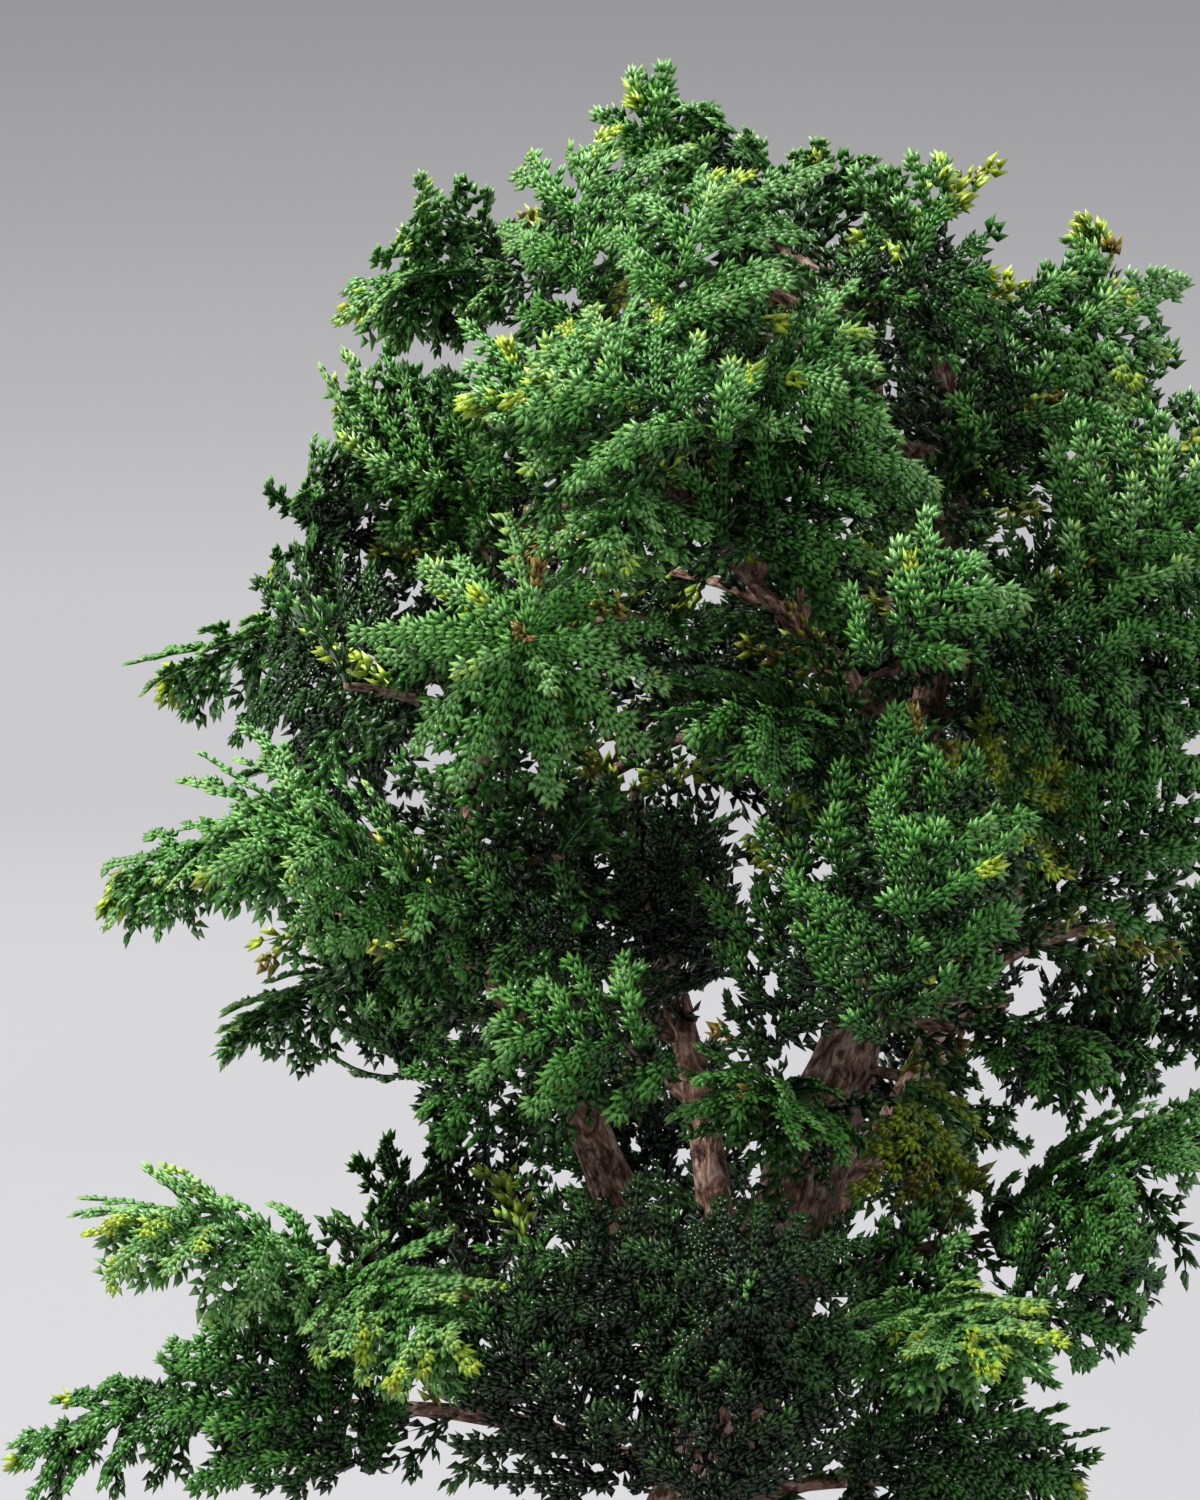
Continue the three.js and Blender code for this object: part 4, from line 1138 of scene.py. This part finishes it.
@dataclass
class SprayPlan:
    """The frame of a spray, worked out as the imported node's own."""

    kind: Kind
    seed: int
    spread: float
    reach: float
    root: Array
    way: Array
    face: Array
    spacing: float = 2.6
    under_grain: float = 1.4

    @staticmethod
    def of(base: Array, spray: Spray, seed: int) -> "SprayPlan":
        """Work out a spray's frame.

        A fan grows from the twig's end to its aim and faces up and out of the crown. A shell or
        a tuft faces along that line, and grows outwards and up across it.

        Args:
            base: the leafy end of the twig.
            spray: the spray's kind, aim and spread.
            seed: its own number.

        Returns:
            The plan.
        """
        kind, *aim, spread = spray
        middle, crown_middle = np.array(aim, float), 12
        reach = float(np.linalg.norm(middle - base))
        axis = (middle - base) / reach
        if kind is FAN:
            outward = unit(np.array([(middle[0] - crown_middle) / 2, middle[1] - crown_middle, 0.0]))
            face = UP + 1.1 * outward
            return SprayPlan(kind, seed, spread, reach, base, axis, unit(face - axis * (face @ axis)))
        away = unit(np.array([middle[0] - crown_middle, 0.0, 16.0]))
        way = unit(away - axis * (away @ axis))
        turn = 0.7 * (2 * chance(seed, 31) - 1)
        way = swung(way, np.cross(axis, way), turn)
        if kind is TUFT:
            return SprayPlan(kind, seed, spread, spread / 2, middle, way, axis)
        return SprayPlan(kind, seed, 0.95 * spread, spread, middle - way * 0.5 * spread, way, axis)

    def at(self, along: Array, across: Array) -> Array:
        """Points of the bent sheet of a fan or a shell.

        It arches by 0.4 times its reach times t(1 - t) along the rib and hangs at its sides by
        0.3 times the square of the offset over half the spread.

        Args:
            along: distances along the rib in mm.
            across: offsets to its side in mm.

        Returns:
            Points of shape (n, 3).
        """
        t = along / self.reach
        height = 0.4 * self.reach * t * (1 - t) - 0.3 * across**2 / (self.spread / 2)
        flat = self.root + along[:, None] * self.way + across[:, None] * np.cross(self.face, self.way)
        return flat + height[:, None] * self.face

    def fronds(self, tone: float, rng: Rng) -> Fronds:
        """Set this spray's fronds in its layers or rings, about a middle tone."""
        grow, groups = (self.ring, RINGS) if self.kind is TUFT else (self.layer, LAYERS[self.kind])
        return stacked([grow(*group, tone, rng) for group in groups])

    def layer(
        self, rise: float, scale: float, share: float, shade: float, tone: float, rng: Rng
    ) -> Fronds:
        """Fronds on alternate sides of the rib that rise off the sheet by an angle.

        Args:
            rise: the angle off the sheet, in radians.
            scale: their length over the first layer's.
            share: their number over the first layer's.
            shade: what is added to their tone; below zero it is painted shade.
            tone: the spray's tone.
            rng: the seeded draw.

        Returns:
            The fronds.
        """
        count = max(3, round(share * self.reach / self.spacing))
        t = np.linspace(0.04, 0.84, count) + rng.uniform(-0.03, 0.03, count)
        side = np.where((np.arange(count) + self.seed) % 2 == 0, 1.0, -1.0)
        angle = 1.08 - 0.5 * t + rng.uniform(-0.2, 0.2, count)
        angle[-1] = 0.05
        swell = 0.74 + 0.34 * np.sin(np.pi * (0.15 + 0.75 * t))
        length = 0.6 * self.spread * swell * rng.uniform(0.8, 1.12, count)
        room = (1.03 * self.reach - t * self.reach) / np.cos(angle)
        length = scale * np.minimum(length, np.maximum(room, 4.0))
        along, none, step = t * self.reach, np.zeros(count), 0.5
        root = self.at(along, none)
        ahead = unit(self.at(along + step, none) - root)
        beside = unit(self.at(along, none + step) - root)
        flat = unit(swung(ahead, beside * side[:, None], angle[:, None]))
        face = np.cross(ahead, beside)
        face = face * np.sign(face @ self.face)[:, None]
        curl = 0.45 + 0.9 * max(rise, 0.0) + rng.uniform(-0.35, 0.35, count)
        tilt = rise + rng.uniform(-0.22, 0.22, count)
        # Fronds near the spray's root are darker: older growth there, and painted shade.
        tone = tone + shade + 0.22 * (t - 0.55)
        return self.dressed((root, flat, face), tilt, length, curl, tone, rise < 0, rng)

    def ring(
        self, count: int, rise: float, scale: float, lower: float, shade: float, tone: float,
        rng: Rng,
    ) -> Fronds:
        """Fronds in a ring round a tuft's stalk.

        Args:
            count: how many.
            rise: their angle off the ring's level, in radians.
            scale: their length over half the spread.
            lower: how far below the top they start, in mm.
            shade: what is added to their tone; below zero it is painted shade.
            tone: the spray's tone.
            rng: the seeded draw.

        Returns:
            The fronds.
        """
        turn = 2 * np.pi * (np.arange(count) + rng.uniform(-0.2, 0.2, count)) / count
        flat = swung(self.way, np.cross(self.face, self.way), turn[:, None])
        length = scale * self.spread / 2 * rng.uniform(0.8, 1.2, count)
        start = (self.root + flat * 0.4 - self.face * lower, flat, np.broadcast_to(self.face, flat.shape))
        curl = 0.6 + rng.uniform(-0.3, 0.4, count)
        tilt = rise + rng.uniform(-0.2, 0.2, count)
        return self.dressed(start, tilt, length, curl, tone + shade, lower > 0, rng)

    def dressed(
        self, start: tuple[Array, Array, Array], rise: Array, length: Array, curl: Array,
        tone: float | Array, hidden: bool, rng: Rng,
    ) -> Fronds:
        """Tilt fronds off their sheet, roll each a little, and draw its width, cup and tone.

        Those that hang well below the sheet turn their faces down.

        Args:
            start: where they start, the way each grows in the sheet and the sheet's face there.
            rise: the angle of each off the sheet.
            length: their lengths in mm.
            curl: how far each bends.
            tone: their middle tone.
            hidden: whether they lie under others, where leaves are larger and fewer.
            rng: the seeded draw.

        Returns:
            The fronds.
        """
        root, flat, face = start
        count, grain = len(length), self.under_grain if hidden else 1.0
        tilt, roll = rise[:, None], rng.normal(0, 0.3, (count, 1))
        way, above = swung(flat, face, tilt), swung(face, -flat, tilt)
        above = swung(above, np.cross(way, above), roll)
        under = tilt < -0.5
        above, curl = np.where(under, -above, above), np.where(under[:, 0], -curl, curl)
        width = np.clip(0.16 * length, 1.4, 2.4) * grain**1.5 * rng.uniform(0.85, 1.15, count)
        return Fronds(
            root, way, above, length, width, curl, rng.uniform(-0.25, 0.3, count),
            tone + rng.uniform(-0.07, 0.07, count), np.full(count, grain), np.zeros(count),
        )


@dataclass
class Foliage:
    """All leafy branches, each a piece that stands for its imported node.

    Reach is how far the crown goes from its middle in x and in y, in mm.
    """

    shop: Workshop
    reach: Array
    material: Material
    grower: LeafGrower = field(default_factory=LeafGrower)
    fresh_tone: float = 0.78
    dry_tone: float = 0.93
    olive_from: float = 0.8
    past_twig: float = 0.9

    def build(self) -> None:
        """Make one piece for each branch."""
        for number, branch in enumerate(BRANCHES, start=1):
            rng = np.random.default_rng(number)
            rows = twig_of(branch).rows
            tip = np.array(rows[-1][:3])
            base = tip + unit(tip - np.array(rows[-2][:3])) * self.past_twig
            plans = [SprayPlan.of(base, spray, number * 2 + i) for i, spray in enumerate(branch.sprays)]
            fronds = stacked([plan.fronds(branch.tone, rng) for plan in plans])
            fronds.pinched(-self.shop.shift[:2] / MM, self.reach)
            fronds.tipped(FRESH_TIPS, self.fresh_tone).tipped(DRY_TIPS, self.dry_tone)
            slot = "olive" if branch.tone > self.olive_from else "green"
            name, node = f"leaves_{branch.name}", f"foliage_{branch.name}"
            self.shop.piece(name, self.grower.grow(fronds, rng), self.material, slot, [node])


@dataclass
class InnerSprigs:
    """Short dull sprigs of older growth along the twigs and the thinner limbs. Their dark green is
    old growth's colour and painted shade inside the crown.
    """

    shop: Workshop
    material: Material
    grower: LeafGrower = field(default_factory=LeafGrower)
    spacing: float = 2.6
    spiral: float = 2.4
    shortest: float = 8.0
    longest: float = 15.0
    width: float = 5.0
    grain: float = 1.5
    olive_share: float = 0.16
    trunk_start: float = 0.64
    limb_start: float = 0.4
    seed: int = 77

    def along(self, limb: Limb, first: float, rng: Rng, last: float = 0.98) -> Fronds:
        """Sprigs in a spiral round a limb.

        Args:
            limb: the limb or the twig.
            first: the share of its length where they start.
            rng: the seeded draw.
            last: the share where they end.

        Returns:
            The sprigs as fronds.
        """
        count = max(3, round(float(limb.walk(first, last, 60)[1][-1]) / self.spacing))
        share = np.linspace(first, last, count) + rng.uniform(-0.01, 0.01, count)
        root = limb.line(share)
        ahead = unit(limb.line(share + 0.02) - limb.line(share - 0.02))
        turn = (np.arange(count) * self.spiral + rng.uniform(0, 0.6, count))[:, None]
        rest = np.eye(3)[np.argmin(np.abs(ahead.sum(0)))]
        normal = unit(rest - ahead * (ahead @ rest)[:, None])
        out = swung(normal, np.cross(ahead, normal), turn)
        way = unit(out + ahead * 0.7 + UP * 0.25)
        face = unit(np.cross(np.cross(way, UP), way) + 0.3 * out)
        face = unit(face - way * np.sum(face * way, -1, keepdims=True))
        length = rng.uniform(self.shortest, self.longest, count)
        olive = rng.uniform(size=count) < self.olive_share
        # Most sprigs are dark green, partly as painted shade inside the crown; some are olive.
        tone = np.where(olive, rng.uniform(0.82, 0.92, count), rng.uniform(0.12, 0.34, count))
        values = (self.width, 0.5, 0.2, self.grain, 0.0)
        width, curl, cup, grain, tip = (np.full(count, value) for value in values)
        return Fronds(root, way, face, length, width, curl, cup, tone, grain, tip)

    def build(self) -> None:
        """Make one piece for the twigs and one for the limbs."""
        rng = np.random.default_rng(self.seed)
        twigs = [self.along(twig_of(branch), 0.25, rng) for branch in BRANCHES]
        twigs += [self.along(twig, 0.2, rng) for twig in side_twigs()]
        starts = [self.trunk_start] + [self.limb_start] * (len(STEMS) - 1)
        limbs = [self.along(Limb(rows), start, rng) for rows, start in zip(STEMS.values(), starts)]
        for name, groups in (("twig_sprigs", twigs), ("limb_sprigs", limbs)):
            self.shop.piece(name, self.grower.grow(stacked(groups), rng), self.material, "green")


# ---- Pot, soil and screens ----


@dataclass
class Pot:
    """A plain oval pot with a rim band, four short feet and two drainage holes."""

    shop: Workshop
    length: float = 140
    width: float = 106
    height: float = 40
    foot_height: float = 5
    foot_x: float = 34
    foot_y: float = 22
    floor: float = 6
    wall: float = 6
    lip: float = 3
    band: float = 5
    taper: float = 15
    drain_radius: float = 6
    drain_x: float = 26

    def profile(self) -> Array:
        """Points round the wall, from the underside's middle up over the rim to the floor's.

        Returns:
            Their distances from the upright and their heights, of shape (n, 2).
        """
        rim, top, foot, waist = self.length / 2, self.height, self.foot_height, self.height / 2
        neck, under, inner = rim - self.lip, rim - self.taper, rim - self.lip - self.wall
        band, floor = top - self.band, foot + self.floor
        return np.array([
            (0, foot), (under - 2, foot), (under + 2.2, foot + 0.7), (under + 5.2, foot + 3.4),
            (neck - 3.6, waist - 3), (neck - 1.6, waist + 4), (neck - 0.3, band - 1.8),
            (neck + 0.3, band - 0.9), (rim - 0.9, band - 0.1), (rim, band + 0.8), (rim, top - 1.3),
            (rim - 0.5, top - 0.4), (rim - 1.4, top), (inner + 4, top), (inner + 3, top - 0.4),
            (inner + 2, top - 1.6), (inner, band), (inner - 3, waist), (under - 3, floor + 1),
            (under - 5, floor), (0, floor),
        ])

    def wall_surface(self) -> Surface:
        """The wall: its profile, closely spaced, carried round the pot's oval.

        Slow noise of a few tenths of a millimetre stands for the hand-pressed clay.

        Returns:
            The wall, closed by the underside and the floor.
        """
        sides, step = 160, 2.2
        corner = self.profile()
        spans = np.concatenate([[0], np.cumsum(np.linalg.norm(np.diff(corner, axis=0), axis=1))])
        dense = np.unique(np.concatenate([spans, np.arange(0, spans[-1], step)]))
        radius, height = (np.interp(dense, spans, column) for column in corner.T)
        points = revolved(radius[1:-1], height[1:-1], sides, self.width / self.length)
        hand = value_noise(points / 17, 4) * 0.22 + value_noise(points / 5, 6) * 0.06
        outward = unit(points * [1, 1, 0])
        points = points + outward * hand[..., None] * np.clip(radius[1:-1, None, None] / 30, 0, 1)
        ends = [[0, 0, height[0]], [0, 0, height[-1]]]
        return Surface(np.concatenate([points.reshape(-1, 3), ends]), tube_faces(len(radius) - 3, sides))

    def foot_surface(self, x: float, y: float) -> Surface:
        """A round foot with a softened edge, sunk a millimetre into the underside."""
        shape = Limb(((x, y, 0, 6.5), (x, y, 3, 7.4), (x, y, 6, 8)))
        return shape.surface(40, 16, lambda turn, along, radius: -0.9 * np.exp(-along / 0.35))

    def build(self) -> None:
        """Make the pot, and cut its drainage holes."""
        feet = [(x, y) for x in (-self.foot_x, self.foot_x) for y in (-self.foot_y, self.foot_y)]
        parts = [self.wall_surface(), *(self.foot_surface(x, y) for x, y in feet)]
        pot = self.shop.piece("stoneware_pot", Surface.joined(parts), STONEWARE.material(), "clay", ["pot"])
        cutters = []
        for x in (-self.drain_x, self.drain_x):
            tube = Limb(((x, 0, 0, self.drain_radius), (x, 0, 15, self.drain_radius)))
            surface = tube.surface(48, 1, lambda turn, along, radius: 0 * turn)
            mesh = bpy.data.meshes.new("drain")
            mesh.from_pydata(self.shop.place(surface.points).tolist(), [], surface.faces.tolist())
            cutters.append(put("drain", mesh))
            cut = pot.modifiers.new("drain", "BOOLEAN")
            cut.operation, cut.solver, cut.object = "DIFFERENCE", "EXACT", cutters[-1]
        bpy.context.view_layer.update()
        cut_mesh = bpy.data.meshes.new_from_object(pot.evaluated_get(bpy.context.evaluated_depsgraph_get()))
        pot.modifiers.clear()
        pot.data = cut_mesh
        for cutter in cutters:
            bpy.data.objects.remove(cutter)


@dataclass
class Soil:
    """Clay granules mounded to the trunk, with cushions of moss at their x, y and radius."""

    shop: Workshop
    top: float = 37
    crown: float = 4
    bottom: float = 12.9
    long_radius: float = 59.5
    squeeze: float = 106 / 140
    granule_count: int = 1900
    leaves_a_cushion: int = 200
    seed: int = 12
    cushions: tuple[Point, ...] = (
        (-13, -6, 9), (4, -13, 8), (12, 6, 7), (-10, 10, 8), (-34, -10, 9), (33, -16, 10), (30, 14, 8),
        (-28, 17, 7),
    )

    def height(self, x: Array, y: Array) -> Array:
        """Height of the soil: a dome over the oval, with lumps of under a millimetre.

        Args:
            x: places along the pot in mm.
            y: places across it in mm.

        Returns:
            Heights in mm.
        """
        share = np.minimum(np.hypot(x, y / self.squeeze) / self.long_radius, 1)
        lumps = value_noise(np.stack([x / 5, y / 5, 0 * x], -1), 9)
        return self.top + self.crown * (1 - share**2) + 0.6 * lumps

    def bed(self) -> Surface:
        """The bed under the granules: a closed lens from the pot's wall to the trunk's foot.

        Returns:
            The bed.
        """
        rings, sides, sunk = 46, 120, 0.4
        share = np.linspace(1, 0, rings + 1)[:-1]
        top = revolved(self.long_radius * share, 0 * share, sides, self.squeeze)
        top[..., 2] = self.height(top[..., 0], top[..., 1]) - sunk
        wall = np.concatenate([0.86 * top[0, :, :2], np.full((sides, 1), self.bottom)], -1)
        ends = [[0, 0, self.bottom], [0, 0, self.top + self.crown - sunk]]
        return Surface(np.concatenate([wall, top.reshape(-1, 3), ends]), tube_faces(rings, sides))

    def granules(self, rng: Rng) -> Surface:
        """Loose granules: rough twenty-sided stones, squeezed and turned at random.

        Their twelve corners are the even turns of (1, gold, 0) with all signs, and three that
        are all near each other make a side.

        Args:
            rng: the seeded draw.

        Returns:
            The granules.
        """
        count, gold = self.granule_count, (1 + 5**0.5) / 2
        signs = [(x, y) for y in (1, -1) for x in (-1, 1)]
        corner = unit(np.array([np.roll((x, y * gold, 0), k) for k in range(3) for x, y in signs]))
        near = np.linalg.norm(corner[:, None] - corner, axis=-1) < 1.1
        side = np.argwhere(near[:, :, None] & near[:, None] & near[None])
        side = side[(side[:, 0] < side[:, 1]) & (side[:, 0] < side[:, 2])]
        a, b, c = (corner[side[:, k]] for k in range(3))
        side = side[np.sum(np.cross(b - a, c - a) * a, axis=1) > 0.1]
        turn = rng.uniform(0, 2 * np.pi, count)
        far = np.sqrt(rng.uniform(0.02, 0.97, count)) * self.long_radius
        x, y = far * np.cos(turn), far * np.sin(turn) * self.squeeze
        size = rng.uniform(0.7, 1.7, count)
        middle = np.stack([x, y, self.height(x, y) + 0.1 * size], -1)
        rough = 1 + rng.uniform(-0.18, 0.18, (count, 12, 1))
        squeeze = rng.uniform(0.7, 1.15, (count, 1, 3))
        spin = np.linalg.qr(rng.normal(size=(count, 3, 3)))[0]
        spin = spin * np.sign(np.linalg.det(spin))[:, None, None]
        stones = np.einsum("nij,nkj->nki", spin, corner[None] * rough * squeeze * size[:, None, None])
        return Surface.bits(stones + middle[:, None], side)

    def moss(self, rng: Rng) -> Surface:
        """Cushions of moss: short upright leaves packed over low mounds.

        Args:
            rng: the seeded draw.

        Returns:
            The leaves.
        """
        centre = np.repeat(np.array(self.cushions, float), self.leaves_a_cushion, axis=0)
        count = len(centre)
        turn = rng.uniform(0, 2 * np.pi, count)
        share = np.sqrt(rng.uniform(0, 1, count))
        far = share * centre[:, 2] * (1 + 0.2 * np.sin(3 * turn + centre[:, 0]))
        x, y = centre[:, 0] + far * np.cos(turn), centre[:, 1] + 0.8 * far * np.sin(turn)
        z = self.height(x, y) + 2.0 * (1 - share**2)
        lean = np.stack([np.cos(turn) * share, np.sin(turn) * share, np.full(count, 0.9)], -1)
        way = unit(lean + rng.normal(0, 0.3, (count, 3)))
        face = unit(np.cross(way, rng.normal(size=(count, 3))))
        tone, every = rng.uniform(0.3, 0.66, count), np.ones(count)
        whorls = Whorls(np.stack([x, y, z], -1), way, face, 0.75 * every, 0.6 * every, tone, every > 0)
        return LeafGrower().leaves(whorls, rng)

    def build(self, leaf: Material) -> None:
        """Make the bed with its granules, and the moss.

        Args:
            leaf: the moss's finish.
        """
        rng = np.random.default_rng(self.seed)
        bed = Surface.joined([self.bed(), self.granules(rng)])
        self.shop.piece("soil_granules", bed, AKADAMA.material(), "soil", ["soil"], smooth=False)
        self.shop.piece("moss", self.moss(rng), leaf, "green", smooth=False)


# ---- Studio ----


@dataclass(frozen=True)
class Lamp:
    """A square soft light: where it hangs, its side, its watts, its tint and its aim, in metres."""

    name: str
    place: Point
    size: float
    watts: float
    tint: str = "#ffffff"
    aim: Point = (0.0, 0.0, 0.15)

    def hang(self) -> None:
        """Put it into the scene, turned by its yaw and its dip."""
        lamp = bpy.data.lights.new(self.name, "AREA")
        lamp.size, lamp.energy, lamp.color = self.size, self.watts, srgb(self.tint)[:3]
        way = unit(np.array(self.aim) - np.array(self.place))
        lit = put(self.name, lamp)
        lit.location = self.place
        lit.rotation_euler = (math.pi / 2 + math.asin(way[2]), 0, -math.atan2(way[0], way[1]))


@dataclass
class Studio:
    """A pale sweep all round, soft lights and the camera."""

    shift: Array
    eye: Point = (-7.2, -827.54, 231.67)
    pitch_deg: float = 4.5
    lens_mm: float = 160.0
    sensor_mm: float = 36.0
    surround: str = "#b9bbbf"
    surround_strength: float = 0.28
    floor_m: float = 1.8
    bend_m: float = 1.6
    lamps: tuple[Lamp, ...] = (
        Lamp("softbox", (-1.5, -0.6, 1.65), 0.6, 60.0, "#fffcf2"),
        Lamp("top_softbox", (-0.15, 0.3, 2.0), 0.8, 36.0, "#f7f8ff"),
        Lamp("fill_card", (1.4, -0.9, 0.9), 1.0, 11.0),
        Lamp("backdrop_light", (0.0, 1.2, 1.6), 1.0, 16.0, aim=(0.0, 2.2, 0.0)),
    )

    def sweep(self) -> None:
        """A floor that curves up to a wall all round: one profile turned round the middle."""
        sides = 96
        bend = np.linspace(0, 0.42 * np.pi, 24)
        level = np.array([0.1, 0.3, 0.6, 1.0, 1.4])
        radius = np.concatenate([level, self.floor_m + self.bend_m * np.sin(bend)])
        height = np.concatenate([0 * level, self.bend_m - self.bend_m * np.cos(bend)])
        a, b = beside_pairs(len(radius) - 1, sides)
        skin = np.stack([a, a + sides, b + sides, b], 1).tolist() + [list(range(sides))]
        mesh = bpy.data.meshes.new("sweep")
        mesh.from_pydata(revolved(radius, height, sides).reshape(-1, 3).tolist(), [], skin)
        mesh.polygons.foreach_set("use_smooth", np.full(len(mesh.polygons), True))
        mesh.materials.append(PaperFinish().material())
        put("sweep", mesh)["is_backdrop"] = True

    def build(self) -> None:
        """Make the sweep, the lights, the surrounding light and the camera."""
        self.sweep()
        for lamp in self.lamps:
            lamp.hang()
        world = bpy.data.worlds.new("studio")
        world.use_nodes = True
        light = world.node_tree.nodes["Background"].inputs
        light["Color"].default_value = srgb(self.surround)
        light["Strength"].default_value = self.surround_strength
        camera = bpy.data.cameras.new("camera")
        camera.lens, camera.sensor_width = self.lens_mm, self.sensor_mm
        seen = put("camera", camera)
        seen.location = np.array(self.eye) * MM + self.shift
        seen.rotation_euler = (math.radians(90 - self.pitch_deg), 0, 0)
        scene = bpy.context.scene
        scene.world, scene.camera = world, seen
        scene.view_settings.view_transform = "Standard"


def main() -> None:
    """Build the studio and the plant."""
    logging.basicConfig(level=logging.INFO, format="%(name)s: %(message)s")
    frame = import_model()
    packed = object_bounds()
    low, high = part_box("pot")
    shift = np.array([(low[0] + high[0]) / 2, (low[1] + high[1]) / 2, 0.0])
    shop = Workshop(shift)
    Studio(shift).build()
    Wood(shop).build()
    leaf = LeafFinish().material()
    Foliage(shop, np.array(packed[1][:2]) / MM, leaf).build()
    InnerSprigs(shop, leaf).build()
    Pot(shop).build()
    Soil(shop).build(leaf)
    plastic = MESH_PLASTIC.material()
    for name in ("drain_screen_left", "drain_screen_right"):
        frame["nodes"][name].data.materials.clear()
        frame["nodes"][name].data.materials.append(plastic)
        log.info("%s: packed node with the plastic finish", name)


if __name__ == "__main__":
    main()
